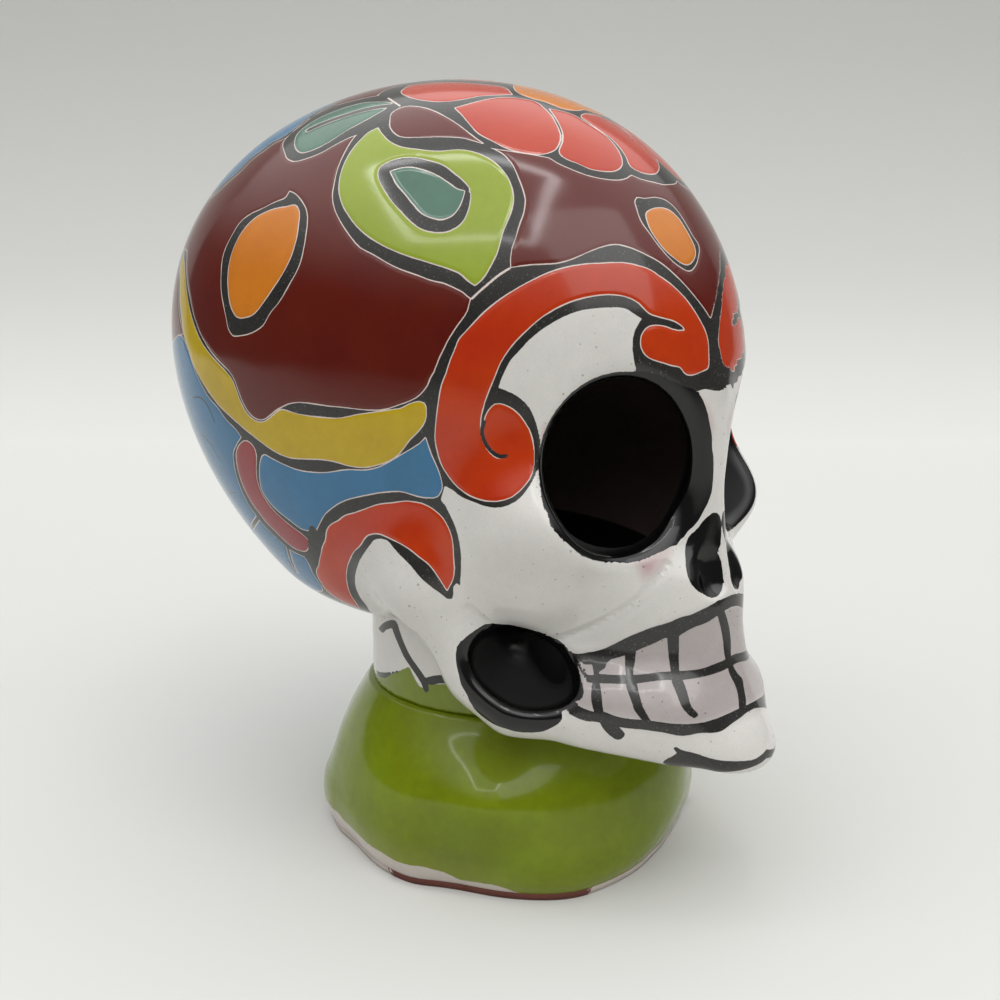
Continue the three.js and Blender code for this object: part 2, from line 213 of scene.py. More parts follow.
# Each crown is a low pillow between its neighbours' lines, and the bite is a shallow groove across them
def toothPillows(p):
    front = jawFront(p[:, 2])
    angle = np.degrees(np.arctan2(p[:, 0], teeth["axisY"] - p[:, 1]))
    edges = np.array(teeth["edges"], float)
    tooth = np.clip(np.searchsorted(edges, angle) - 1, 0, len(edges) - 2)
    across = np.clip((angle - edges[tooth]) / (edges[tooth + 1] - edges[tooth]), 0, 1)
    gum, bite, lip = [high - fall * np.maximum(p[:, 1] - front, 0) for high, fall in
                      (teeth["gumLine"], teeth["biteLine"], teeth["lipLine"])]
    up = np.clip((p[:, 2] - lip) / np.maximum(gum - lip, 5), 0, 1)
    groove = teeth["groove"] * np.exp(-((p[:, 2] - bite) / teeth["grooveWidth"]) ** 2)
    rows = np.sin(math.pi * up) ** 2 - groove
    fade = np.clip((front + teeth["depth"] - p[:, 1]) / teeth["fade"], 0, 1)
    crown = teeth["least"] + (1 - teeth["least"]) * np.sin(math.pi * across) ** 2
    return teeth["relief"] * crown * rows * fade


# The skull's outside, with its solid cheeks, nose and jaw bars, and its teeth
def fromSkull(p):
    p = oneSide(p)
    form = fromCast(p)
    cheek = skull["cheekbone"]
    form = joinRound(form, fromEllipsoid(p, cheek["centre"], np.array(cheek["half"], float)), cheek["blend"])
    for bar in (skull["cheekArch"], skull["noseRidge"]):
        form = joinRound(form, fromCapsule(p, bar["start"], bar["end"], *bar["radii"]), bar["blend"])
    bars = skull["jawBars"]
    for (start, startRadius), (end, endRadius) in zip(bars, bars[1:]):
        form = joinRound(form, fromCapsule(p, start, end, startRadius, endRadius), skull["jawBarBlend"])
    return form - toothPillows(p)


# The wall: outside less the hollow, pierced by the eyes and cheeks, dented by the nostrils
def fromClay(p):
    p = oneSide(p)
    clay = cutRound(fromSkull(p), -(fromCast(p) + skull["wall"]), 2)
    hole = np.hypot(p[:, 0], p[:, 1]) - skull["neckHole"]["radius"]
    clay = cutRound(clay, -cutRound(hole, p[:, 2] - skull["neckHole"]["top"], 4), 2)
    q = turned(p, openings["socketCentre"], turn=-openings["socketTurn"])
    wide, high = openings["socketHalf"]
    eye = (np.hypot(q[:, 0] / wide, q[:, 2] / high) - 1) * wide
    eye = cutRound(eye, q[:, 1] - openings["socketDepth"], 4)
    clay = cutRound(clay, -eye, openings["socketRound"])
    q = turned(p, openings["cheekCentre"], lean=openings["cheekLean"], turn=openings["cheekTurn"])
    cheek = fromEllipsoid(q, np.zeros(3), np.array(openings["cheekHalf"], float))
    clay = cutRound(clay, -cheek, openings["cheekRound"])
    small, large = openings["nostrilRadii"]
    nostril = joinRound(
        fromCapsule(p, openings["nostrilTop"], openings["nostrilMiddle"], small, large),
        fromCapsule(p, openings["nostrilMiddle"], openings["nostrilFoot"], large, large), 1)
    return cutRound(clay, -nostril, openings["nostrilRound"])


def slopeOf(form, p, step=0.05):
    slopes = [form(p + step * axis) - form(p - step * axis) for axis in np.eye(3)]
    return np.stack(slopes, 1) / (2 * step)


# Moves points along the field's slope until they lie on its surface
def settle(form, points, rounds=4, most=0.6):
    for _ in range(rounds):
        slope = slopeOf(form, points)
        move = (form(points) / np.maximum((slope * slope).sum(1), 0.2))[:, None] * slope
        length = np.linalg.norm(move, axis=1)[:, None]
        points = points - move * np.minimum(1, most / np.maximum(length, 1e-9))
    return points


# Meshing of a field: cells near its surface are found by halving, one point is set in each, and four cells
# round a crossed edge make a face
corners = np.array([[x, y, z] for x in (0, 1) for y in (0, 1) for z in (0, 1)])


def surfaceOf(form, low, high, cell, halvings=4):
    low, high = np.array(low, float), np.array(high, float)
    size = cell * 2 ** halvings
    counts = np.ceil((high - low) / size).astype(int)
    cells = np.stack(np.meshgrid(*[np.arange(n) for n in counts], indexing="ij"), -1).reshape(-1, 3)
    for step in range(halvings + 1):
        near = np.abs(form(low + (cells + 0.5) * size)) < size * 1.3
        cells = cells[near]
        if step < halvings:
            cells = (cells[:, None] * 2 + corners).reshape(-1, 3)
            size /= 2
    span = (counts * 2 ** halvings + 2).astype(np.int64)

    def keyOf(places):
        return (places[..., 0] * span[1] + places[..., 1]) * span[2] + places[..., 2]

    cells = cells[np.argsort(keyOf(cells))]
    cornerKeys, where = np.unique(keyOf(cells[:, None] + corners), return_inverse=True)
    places = np.stack(
        [cornerKeys // (span[1] * span[2]), cornerKeys // span[2] % span[1], cornerKeys % span[2]], 1)
    values = form(low + places * size)[where.reshape(-1, 8)]
    crossed = (values < 0).any(1) & (values >= 0).any(1)
    cells, values = cells[crossed], values[crossed]
    keys = keyOf(cells)
    total, count = np.zeros((len(cells), 3)), np.zeros(len(cells))
    for a in range(8):
        for axis in range(3):
            b = a + (4, 2, 1)[axis]
            if corners[a][axis] == 1:
                continue
            cut = (values[:, a] < 0) != (values[:, b] < 0)
            share = np.where(cut, values[:, a] / np.where(cut, values[:, a] - values[:, b], 1), 0)
            total += np.where(cut[:, None], corners[a] + share[:, None] * np.eye(3)[axis], 0)
            count += cut
    points = low + (cells + total / count[:, None]) * size
    faces = []
    for axis in range(3):
        u, v = np.eye(3, dtype=int)[(axis + 1) % 3], np.eye(3, dtype=int)[(axis + 2) % 3]
        inside, outside = values[:, 0] < 0, values[:, (4, 2, 1)[axis]] < 0
        for mask, flip in ((inside & ~outside, False), (~inside & outside, True)):
            own = cells[mask]
            ring = np.stack([keyOf(own), keyOf(own - u), keyOf(own - u - v), keyOf(own - v)], 1)
            ring = np.searchsorted(keys, ring)
            faces.append(ring[:, ::-1] if flip else ring)
    return settle(form, points), np.concatenate(faces)


# Camera of the picture, in millimetres and pixels
picture = {
    "size": 1000,
    "focal": 1100,
    "sensor": 36,
    "target": (0, 5, 102.5),
    "distance": 344,
    "azimuth": -46,
    "elevation": 10.6,
}
turn, lift = math.radians(picture["azimuth"]), math.radians(picture["elevation"])
cameraBack = np.array([math.sin(turn) * math.cos(lift), -math.cos(turn) * math.cos(lift), math.sin(lift)])
cameraRight = np.array([math.cos(turn), math.sin(turn), 0])
cameraUp = np.cross(cameraBack, cameraRight)
cameraPlace = np.array(picture["target"]) + cameraBack * picture["distance"]


def raysThrough(pixels):
    offset = (np.array(pixels, float) - picture["size"] / 2) / picture["focal"]
    rays = -cameraBack + offset[:, :1] * cameraRight - offset[:, 1:] * cameraUp
    return rays / np.linalg.norm(rays, axis=1)[:, None]


# Where the rays through some pixels meet a form, or pass it closest
def castOnto(form, pixels, start=150, steps=160):
    rays = raysThrough(pixels)
    travel = np.full(len(rays), float(start))
    best, least = np.zeros((len(rays), 3)), np.full(len(rays), np.inf)
    for _ in range(steps):
        places = cameraPlace + rays * travel[:, None]
        gap = form(places)
        closer = np.abs(gap) < least
        best[closer], least[closer] = places[closer], np.abs(gap)[closer]
        travel += np.clip(gap * 0.7, -2, 30)
    return best


def placesOf(outline, form):
    pixels = [point for point in outline if len(point) == 2]
    onForm = iter(castOnto(form, pixels)) if pixels else iter(())
    places = np.array([next(onForm) if len(point) == 2 else point for point in outline], float)
    return settle(form, places, rounds=14, most=3)


# A smooth line through places on a form, which keeps its sharp corners
def roundedLine(outline, form, closed=True, step=1.3, sharpest=0.35):
    places = placesOf(outline, form)
    follow = np.roll(places, -1, 0)
    length = np.linalg.norm(follow - places, axis=1)[:, None] + 1e-9
    ahead = (follow - places) / length
    behind = np.roll(ahead, 1, 0)
    sharp = (ahead * behind).sum(1) < sharpest
    if not closed:
        sharp[0] = sharp[-1] = True
    middle = ahead + behind
    middle /= np.linalg.norm(middle, axis=1)[:, None] + 1e-9
    leaving = np.where(sharp[:, None], ahead, middle)
    arriving = np.where(np.roll(sharp, -1)[:, None], ahead, np.roll(middle, -1, 0))
    line = []
    for i in range(len(places) if closed else len(places) - 1):
        for t in np.arange(0, 1, 1 / max(1, math.ceil(length[i, 0] / step))):
            bend = (t ** 3 - 2 * t ** 2 + t) * leaving[i] + (t ** 3 - t ** 2) * arriving[i]
            line.append((2 * t ** 3 - 3 * t ** 2 + 1) * places[i] + (3 * t ** 2 - 2 * t ** 3) * follow[i]
                        + length[i] * bend)
    if not closed:
        line.append(places[-1])
    return settle(form, np.array(line), rounds=3)


# Outlines of the painting on the near side. Two numbers are a pixel of the picture, three are a place in
# millimetres where the picture doesn't show the skull. The far side is the same.
outlines = {
    "largeLeaf": [
        (295, 205.5), (299, 212), (298, 225), (296, 239), (290, 258), (282, 274), (272, 289), (264, 301),
        (254, 313.5), (246, 317), (237.5, 317), (232, 309), (229, 296), (228, 280), (229.5, 263),
        (233.5, 249), (241.5, 233), (253, 220), (264, 213), (275, 209), (286, 207)],
    "largeLeafInk": [
        (289.5, 191.5), (295, 194.5), (301, 201), (306, 210.5), (307, 220), (305.5, 234.5), (302.5, 252),
        (299, 265), (291, 280.5), (279, 301), (269, 313.5), (262.5, 325), (249.5, 333), (240, 335),
        (233, 335), (228.5, 328), (226.5, 317), (223, 301), (221.5, 290), (221.5, 274.5), (222.5, 260),
        (225.5, 249), (232, 236), (240, 223), (249.5, 215), (262.5, 209), (275, 202.5), (286.5, 197)],
    "tealLeaf": [
        (392, 103), (376, 102), (360, 103.5), (341, 109), (323, 116), (309, 124), (299, 132), (295, 141.5),
        (297, 149.5), (302.5, 152.5), (313.5, 149.5), (329.5, 141.5), (345.5, 131), (360, 123),
        (374.5, 115), (384, 109.5)],
    "tealLeafInk": [
        (285, 140), (285.5, 153), (288, 158.5), (294.5, 161), (304, 159), (320, 153), (336, 144),
        (349, 137.5), (360, 133.5), (368, 130), (380, 126), (397, 112), (398, 99), (392, 95), (385, 95),
        (368, 97.5), (349, 102), (337, 105), (326.5, 109.5), (313.5, 116), (304, 124), (293, 132)],
    "limeLeaf": [
        (377.5, 128), (381, 133), (389, 141.5), (400, 147), (416, 149.5), (438.5, 151.5), (457.5, 150),
        (470.5, 151.5), (483, 156), (496, 164), (505.5, 174.5), (511, 187), (513, 198.5), (511, 211),
        (507, 221), (502.5, 232), (499, 245), (496, 254.5), (489.5, 267), (482.5, 278.5), (475, 285),
        (469, 281), (461, 273.5), (448, 268), (438.5, 265), (422.5, 260), (405, 254.5), (389, 248),
        (374.5, 240), (360, 229), (350.5, 217.5), (343, 205), (339.5, 192), (340, 179), (344, 165),
        (352, 150.5), (361.5, 139), (369.5, 132)],
    "limeLeafInk": [
        (366, 129), (356, 136), (347, 149), (339, 166.5), (335, 182.5), (333, 195), (335, 208), (341, 221),
        (349, 233.5), (360, 246.5), (374.5, 254.5), (389, 263), (403, 269.5), (419, 275), (432, 280),
        (445, 283), (456, 288), (464, 292), (472, 298.5), (480, 296), (501, 280), (509.5, 268),
        (509.5, 261), (511, 248), (514.5, 238.5), (518.5, 225.5), (523, 213), (524.5, 198.5),
        (522.5, 190.5), (517, 176), (510.5, 163), (501, 153.5), (489.5, 148), (477, 143), (464, 139),
        (448, 138), (432, 138), (416, 138), (400, 138), (389, 131), (381, 124)],
    "teardrop": [
        (390.5, 171.5), (400, 168.5), (411, 167.5), (424, 170.5), (437, 176), (448, 183), (457.5, 189.5),
        (464.5, 191), (462.5, 198.5), (459, 206.5), (453, 214.5), (443, 219), (432, 217.5), (422.5, 213.5),
        (414.5, 205), (405, 193.5), (397, 184)],
    "teardropInk": [
        (378.5, 174.5), (380, 168), (387, 163), (398.5, 159), (413, 158), (429, 161), (441.5, 165),
        (453, 173), (464, 182.5), (469.5, 189.5), (466, 190.5), (469.5, 193), (469.5, 201.5), (465.5, 216),
        (459, 225), (448, 231), (435, 232), (422.5, 229), (411, 221), (400, 209.5), (390.5, 198.5),
        (382.5, 185.5)],
    "burgundyField": [
        (-6, -78, 157), (711, 319.5), (705, 310.5), (697, 300), (687, 288), (674.5, 275), (661.5, 264),
        (642.5, 253.5), (626.5, 247), (615, 245), (601, 248), (581.5, 256), (569, 261), (556, 264),
        (540, 265), (525, 266), (511.5, 267), (500, 272), (480, 289), (470, 299), (467, 311.5),
        (454.5, 329.5), (448, 340), (443, 350), (439, 358), (434, 370), (431, 377), (427, 385), (420, 394),
        (413, 399), (400, 404), (384, 409), (360, 409), (344, 407), (328, 405.5), (312, 403), (297.5, 402),
        (288, 403.5), (281.5, 406.5), (276, 409.5), (269.5, 415), (263.5, 419), (257.5, 419), (250, 413.5),
        (242.5, 401), (238, 389), (234, 378.5), (230, 372), (220, 361.5), (211, 351), (203, 338),
        (195, 318), (190.5, 299), (188, 284), (186.5, 268), (187, 252), (184, 249), (181, 253), (178, 268),
        (178, 280), (178, 301), (180, 320), (183, 333.5), (-71, 78, 153), (-68, 86, 167), (-63, 83, 182),
        (208, 201), (219, 191), (229, 181.5), (240, 172), (253, 159), (264, 151), (275, 143), (285, 138.5),
        (296, 129), (306, 121), (320, 112), (337, 103), (-24, 40, 222), (0, 44, 224), (30, 40, 222),
        (50, 0, 205), (40, -50, 180), (12, -74, 157)],
    "burgundyPetal": [
        (390.5, 119), (391, 114.5), (397, 109.5), (406.5, 106.5), (419, 107), (432, 110.5), (441.5, 115),
        (453, 121.5), (464, 129.5), (474, 137.5), (483, 143.5), (462, 137.5), (440, 136.5), (415, 137),
        (401, 136.5), (395, 133), (390.5, 127)],
    "petalBack": [
        (401.5, 92), (409.5, 85.5), (440, 82.5), (480, 84), (501, 86.5), (512, 94.5), (496, 95), (480, 96),
        (464, 99), (445, 101.5), (425.5, 100.5), (411, 97.5)],
    "petalSide": [
        (455, 108), (469, 104), (486.5, 99.5), (504, 97.5), (520, 98.5), (534.5, 101.5), (542.5, 107),
        (550.5, 115), (557, 126.5), (560, 136), (558.5, 144), (553.5, 150.5), (541, 154), (526.5, 153),
        (509, 149), (493, 141), (478.5, 133), (469, 123), (461, 113.5)],
    "petalFront": [
        (549.5, 109), (561, 111), (573.5, 115), (586.5, 123), (599, 131), (609, 139), (617, 149),
        (621.5, 158.5), (621, 166.5), (613.5, 171), (604, 171), (591, 169), (577, 163), (567, 159),
        (560, 153.5), (563, 142.5), (563.5, 134.5), (559, 123), (553, 113.5)],
    "petalMiddle": [
        (581.5, 117), (593, 114.5), (602.5, 117.5), (617, 125), (629.5, 134.5), (642.5, 145.5),
        (652, 153.5), (657.5, 161.5), (658.5, 169.5), (654.5, 173.5), (644, 173), (634.5, 169),
        (631, 166.5), (626.5, 157), (618.5, 145.5), (610.5, 137.5), (601, 131), (589.5, 123)],
    "petalRear": [
        (-5, -2, 224), (-11, 3, 226), (-13, 11, 226), (-9, 18, 227), (0, 21, 227), (9, 18, 227),
        (13, 11, 226), (11, 3, 226), (5, -2, 224)],
    "flowerCentre": [
        (514.5, 88), (521.5, 94.5), (534, 99), (544, 101.5), (553, 105), (564, 109), (577, 110.5),
        (582.5, 109.5), (8, -26, 216), (12, -16, 219), (8, -6, 222), (-2, -4, 224)],
    "flowerInk": [
        (385, 120), (368, 130), (380, 126), (389, 133), (400, 140), (416, 140), (432, 140), (448, 139),
        (464, 140), (477, 143), (484, 146), (509, 150.5), (540, 155.5), (549.5, 157.5), (557.5, 162.5),
        (572, 169), (588, 175), (604, 178.5), (620, 179.5), (627, 177.5), (631, 174.5), (639, 178),
        (652, 181.5), (12, -54, 193), (30, -45, 195), (32, -10, 216), (30, 20, 222), (12, 27, 226),
        (0, 26, 226), (-12, 26, 226), (-22, 22, 225), (-33, 20, 220), (-37, 12, 218), (388, 98)],
    "smallLeaf": [
        (646.5, 213.5), (650.5, 210), (660, 208), (669.5, 210.5), (677.5, 217.5), (684, 227),
        (690.5, 238.5), (695, 249.5), (694.5, 257.5), (689, 264), (684, 264), (676, 259), (666.5, 251),
        (658.5, 241.5), (650.5, 229), (647, 219)],
    "smallLeafInk": [
        (637.5, 198), (644, 199), (657, 198), (666.5, 201), (676, 209.5), (684, 221), (692, 235),
        (698.5, 245.5), (698, 256), (695, 265.5), (689, 270.5), (681, 267), (671, 259), (660, 246.5),
        (650.5, 233.5), (641.5, 221), (637, 208), (635.5, 202.5)],
    "scroll": [
        (700, 321), (705, 331), (708, 342), (708.5, 355), (708.5, 365), (707.5, 368), (702, 371),
        (695, 374), (688, 374.5), (684, 372), (681, 367.5), (672, 365), (660, 361.5), (652, 359),
        (646, 355), (642, 349), (641, 343), (642, 335), (646, 329), (650, 326.5), (656, 325.5),
        (664, 326.5), (671, 329), (677, 331), (685, 330.5), (684.5, 328.5), (680, 324), (674, 320.5),
        (665, 318), (656, 315.5), (651, 314), (645, 309), (640, 303.5), (632, 298.5), (620, 295),
        (608, 294), (600, 294.5), (577, 299), (559.5, 306), (541.5, 317), (527, 329.5), (513, 343.5),
        (506, 353), (500, 363), (495, 375), (490, 387), (485, 400), (481, 415), (480, 428), (482, 440),
        (487, 450), (494, 457), (500, 459), (506, 456), (500, 456), (494, 452.5), (488, 447), (485, 438),
        (484, 426), (486, 416), (490, 409), (495, 404.5), (500, 404), (508, 407), (517, 413), (524, 422),
        (529, 430), (532, 440), (534, 450), (534, 462), (532, 473), (527, 482), (520, 490), (512, 496.5),
        (502, 500), (492, 501), (480, 499), (468, 494), (457, 486), (448, 475), (442, 465), (438, 452),
        (435.5, 440), (436, 425), (438, 408), (440, 395), (442, 385), (447, 372), (450, 362), (455, 350),
        (459, 340), (470, 327.5), (488, 309.5), (509.5, 293.5), (534.5, 279.5), (556, 270.5), (581, 265),
        (604, 263.5), (623, 263), (636, 265.5), (650, 270), (660, 277), (670, 284), (680, 293), (690, 305)],
    "scrollInk": [
        (14, -74, 157), (711, 319.5), (705, 310.5), (697, 300), (687, 288), (674.5, 275), (661.5, 264),
        (642.5, 253.5), (626.5, 247), (615, 245), (601, 248), (581.5, 256), (569, 261), (556, 264),
        (540, 265), (525, 266), (509.5, 269.5), (501, 273.5), (491, 281.5), (480, 291), (472, 299),
        (468, 311.5), (455.5, 329.5), (449, 340), (444, 350), (440, 358), (436, 370), (430, 380),
        (428, 390), (427, 400), (427, 415), (426.5, 430), (427.5, 440), (431, 450), (435, 460), (440, 472),
        (443.5, 482), (451, 489), (460, 496), (500, 500), (530, 460), (500, 400), (560, 330), (620, 310),
        (640, 330), (640, 370), (690, 380), (12, -80, 145)],
    "yellowBand": [
        (184, 251), (180, 268), (180, 280), (180, 301), (182, 320), (184, 334.5), (189, 350.5), (195, 368),
        (200, 377.5), (208, 390.5), (219, 405), (232, 417.5), (245, 429), (259, 440), (272, 449.5),
        (288, 457), (304, 458.5), (320, 459), (336, 461.5), (349, 465.5), (365, 467), (376, 465),
        (390, 460), (399, 453.5), (410, 439), (418, 431), (425, 420.5), (426, 410), (424, 403.5),
        (420, 402), (410, 404), (400, 409), (395, 409.5), (379, 412), (357, 415), (342.5, 418),
        (329.5, 418.5), (313.5, 417), (299, 414.5), (288, 411.5), (281.5, 410), (277, 412.5), (270.5, 418),
        (264, 422), (257.5, 422), (249, 416.5), (240.5, 402.5), (236, 390), (232, 380), (228, 374.5),
        (218, 364), (208.5, 353), (200, 340), (192, 319), (187.5, 299), (185.5, 284), (184.5, 268)],
    "bluePanel": [
        (264, 455), (261, 460), (259.5, 470), (260, 480), (262, 490), (268, 500), (275, 508), (283, 515),
        (291, 521), (300, 528), (306, 530), (315, 530.5), (318.5, 525), (324, 515), (329, 510), (337, 504),
        (348, 499), (360, 496), (370, 494), (381, 492), (400, 491), (405, 492), (418, 496), (430, 497.5),
        (436, 497), (440, 493), (442, 487), (441, 480), (437, 468), (431, 455), (427, 443), (425.5, 438),
        (420, 443.5), (410, 450), (398, 457), (390, 462), (380, 467), (370, 470), (360, 470.5), (350, 470),
        (340, 471), (330, 472.5), (320, 473), (310, 472.5), (300, 471), (290, 467.5), (280, 463), (272, 459)],
    "stripe": [
        (245, 441), (239, 446), (236.5, 453), (237, 463), (240, 477), (245, 490), (252, 503), (260, 514),
        (267, 523), (275, 531), (283, 539), (290, 545), (297, 549.5), (305, 551), (308, 548), (309, 541),
        (304, 536), (296, 530), (288, 524), (280, 517), (271, 508), (265, 499), (260, 490), (257, 480),
        (256, 468), (256, 455), (254, 448), (250, 443)],
    "blueBack": [
        (182, 337), (188, 351), (194, 369), (200, 382.5), (208, 397), (217.5, 408), (227, 421), (236, 430),
        (241, 437), (237, 443), (233, 453), (233.5, 463), (236.5, 477), (241.5, 491), (248.5, 505),
        (256.5, 516.5), (264, 526), (272, 534), (280.5, 542), (287, 548), (295, 553), (304, 557),
        (308, 563), (312, 572), (318, 582), (322, 588), (-50, 34, 77), (-44, 48, 76), (-24, 66, 80),
        (0, 74, 84), (20, 70, 84), (40, 110, 130), (40, 100, 190), (20, 60, 220), (0, 58, 220),
        (-22, 52, 219), (334, 103.5), (316, 112), (303, 121.5), (293, 129.5), (283, 136.5), (273, 141.5),
        (262, 149.5), (251, 157.5), (238, 170.5), (227, 180), (217, 189.5), (206, 199.5), (-62, 86, 182),
        (-66, 89, 167), (-69, 81, 152)],
    "earArch": [
        (361, 511), (352, 514), (345, 516), (340, 520), (330, 526), (327, 532), (326, 540), (323, 547),
        (321, 555), (319.5, 562), (319, 566), (317, 569), (318, 577), (322, 584), (328, 592), (340, 600),
        (360, 609), (355, 602), (350, 594), (347, 585), (346, 576), (347, 567), (350, 558), (354, 551),
        (360, 545), (363, 540), (366, 536), (372, 533.5), (380, 533.5), (388, 537), (400, 543), (410, 549),
        (420, 557), (430, 565), (438, 576), (447, 590), (453, 578), (453, 555), (452, 540), (449, 530),
        (443, 519), (436, 512), (425, 505), (415, 502.5), (405, 501.5), (395, 503), (380, 504.5),
        (370, 507.5)],
    "painted": [
        (12, -78, 145), (717, 391), (711, 390), (705, 389), (693, 392), (684, 388), (670, 383), (655, 378),
        (640, 374), (635, 364), (633.5, 357), (632.5, 345), (634, 333), (639, 323), (642, 319), (636, 315),
        (630, 311), (624, 308), (612, 307.5), (600, 308), (580.5, 310.5), (563, 317), (545, 327.5),
        (528, 341), (522, 348), (515, 355), (509, 363), (503, 375), (500, 382), (498.5, 387.5),
        (503, 389.5), (511, 392.5), (520, 398), (528, 406), (533, 415), (537, 426), (540, 438),
        (541.5, 448), (540, 458), (538, 468), (534, 478), (528, 488), (520, 498), (512, 503.5),
        (500, 507.5), (492, 507.5), (480, 504.5), (470, 500.5), (460, 496), (451, 489), (444.5, 486),
        (442.5, 494), (441, 500), (445, 505), (449, 513), (453, 521), (457, 532), (459.5, 543), (461, 555),
        (461, 570), (460.5, 578), (460, 586), (457, 583), (453.5, 586), (453.5, 594), (452, 599),
        (448, 599), (440, 593), (430, 586), (420, 577), (410, 565), (400, 555), (392, 546), (388, 541),
        (380, 538.5), (374, 540), (370, 545), (365, 552), (360, 560), (357, 568), (355, 578), (356, 588),
        (360, 597), (366, 605), (374, 614), (380, 617), (-44, 17, 72), (-47, 30, 71), (-42, 45, 71),
        (-24, 61, 74), (0, 68, 77), (20, 64, 78), (60, 100, 130), (50, 40, 210), (40, -50, 180),
        (30, -68, 150)],
    "socketRim": [
        (600, 384), (591.5, 392), (580, 400), (575, 407), (565, 411.5), (558, 416), (557, 420), (556, 430),
        (554, 440), (550, 449), (546, 457), (542, 466), (541, 475), (541, 485), (541.5, 497), (544, 507),
        (549, 517), (550, 524), (556, 533), (561, 538), (570, 545), (580, 550), (590, 554), (600, 558.5),
        (610, 562), (627, 564), (645, 560), (655, 555), (665, 550), (672, 546), (677, 545), (680, 540),
        (684, 537), (688, 531), (694, 526), (700, 518), (703, 512), (708, 503), (711, 494), (712.5, 485),
        (713.5, 470), (713, 455), (712, 445), (712, 437), (710, 425), (708, 415), (705, 405), (702, 398),
        (696, 391), (690, 388), (685, 387), (675, 382), (665, 377), (656, 373.5), (650, 371.5), (632, 371),
        (620, 374), (610, 379)],
    "nostril": [
        (709, 515.5), (714, 513), (718, 513.5), (720.5, 518), (721.5, 530), (721, 545), (720.5, 555),
        (722, 562), (725, 575), (725.5, 581), (724, 588), (720, 592), (716, 593), (710, 596), (705, 595),
        (698, 591), (692, 585), (688, 577), (686, 568), (685.5, 560), (685, 550), (686, 543), (690, 535),
        (695, 531), (698, 528), (702, 522)],
    "cheekHole": [
        (487, 624), (478, 629), (470, 634), (463, 640), (458, 645), (456, 652), (456, 662), (458, 672),
        (460, 680), (463, 688), (467, 695), (471, 703), (476, 711), (483, 717), (490, 722), (497, 726),
        (505, 728.5), (515, 731.5), (525, 732.5), (535, 732.5), (543, 731.5), (551, 728), (558, 724),
        (562, 718), (562, 714), (559, 711), (555, 708), (561, 700), (568, 703), (576, 704.5), (582, 700),
        (584, 691), (582, 685), (580, 681), (580, 672), (581, 666), (577, 660), (571, 655), (567, 650),
        (563, 645), (557, 641), (551, 639), (540, 637), (525, 634), (510, 629), (497, 625)],
    "gumStroke": [
        (565, 652), (575, 654), (590, 652), (600, 650), (610, 646), (620, 641), (630, 636), (640, 632),
        (650, 628), (660, 625), (670, 622), (680, 617.5), (690, 615), (700, 610.5), (715, 603), (725, 598),
        (735, 593), (741, 590), (741, 602), (735, 605), (724, 611), (717, 616), (706, 623), (695, 627),
        (685, 632), (679, 636), (665, 638), (655, 643), (645, 647), (636, 651), (625, 655), (620, 657),
        (610, 660), (607, 663), (591, 664.5), (580, 664), (568, 658)],
    "biteStroke": [
        (577, 672), (590, 675), (600, 674), (615, 675), (630, 675), (645, 674), (660, 672), (680, 671),
        (700, 669), (712, 665), (722, 661), (730, 657), (740, 650), (748, 645), (752, 640), (752, 651),
        (742, 660), (733, 665), (722, 671), (710, 675), (690, 679), (670, 680), (655, 681), (640, 683),
        (625, 684), (605, 683.5), (592, 683), (583, 681), (577, 679)],
    "lipStroke": [
        (554, 707), (556, 705), (560, 698), (568, 701), (576, 705), (585, 709), (595, 712), (605, 712),
        (615, 716), (630, 719), (645, 720), (660, 722), (680, 724), (700, 723), (715, 719), (725, 715),
        (738, 709), (745, 706), (752, 702), (758, 698), (761, 690), (761, 700), (759, 709), (756, 712),
        (752, 710), (740, 718), (730, 725), (722, 731), (712, 733), (700, 733), (683, 736), (665, 733),
        (645, 730), (625, 728), (612, 726), (597, 722), (585, 721), (575, 717), (565, 712), (556, 709)],
    "toothLineBack": [
        (592, 662), (593, 670), (594, 678), (592, 685), (591, 695), (592, 705), (595, 713), (599, 720),
        (602, 727), (607, 733), (613, 738), (618, 740), (624, 737), (625, 734), (622, 730), (612, 723),
        (604, 714), (603, 710), (602, 700), (601, 690), (599, 680), (599, 672), (605, 668), (607, 661)],
    "toothLineSide": [
        (625, 653), (625, 665), (626, 675), (626, 685), (629, 695), (632, 703), (634, 710), (638, 715),
        (643, 721), (651, 721), (648, 716), (643, 707), (640, 697), (637, 685), (633, 672), (635, 662),
        (636, 649)],
    "toothLineFront": [
        (667, 636), (668, 650), (669, 660), (671, 672), (672, 683), (676, 692), (680, 703), (684, 710),
        (690, 716), (694, 718.5), (698, 716), (698, 713), (694, 710), (690, 703), (688, 695), (684, 683),
        (680, 675), (679, 665), (679, 650), (679, 634)],
    "toothLineMiddle": [
        (717, 614), (720, 625), (723, 640), (724, 652), (727, 665), (730, 675), (735, 685), (738, 695),
        (739, 710), (745, 708), (746, 700), (744, 688), (742, 678), (738, 674), (733, 665), (731, 655),
        (731, 645), (730, 632), (728, 622), (724, 609)],
    "chinStroke": [
        (673, 748), (676, 747), (682, 750), (690, 752), (698, 754), (706, 757), (718, 760), (730, 761),
        (742, 761), (752, 760), (760, 756), (768, 747), (773, 735), (775, 737), (771, 750), (765, 760),
        (755, 766), (740, 770.5), (725, 772), (705, 771.5), (690, 770), (678, 768), (668, 765), (663, 763),
        (665, 760), (671, 757), (677, 753)],
    "blushNose": [
        (634, 563), (645, 556), (657, 549), (668, 545), (672, 552), (664, 564), (652, 577), (643, 580)],
    "blushTemple": [
        (543, 424), (550, 422), (554, 432), (553, 446), (546, 452), (541, 440)],
    "blushLip": [
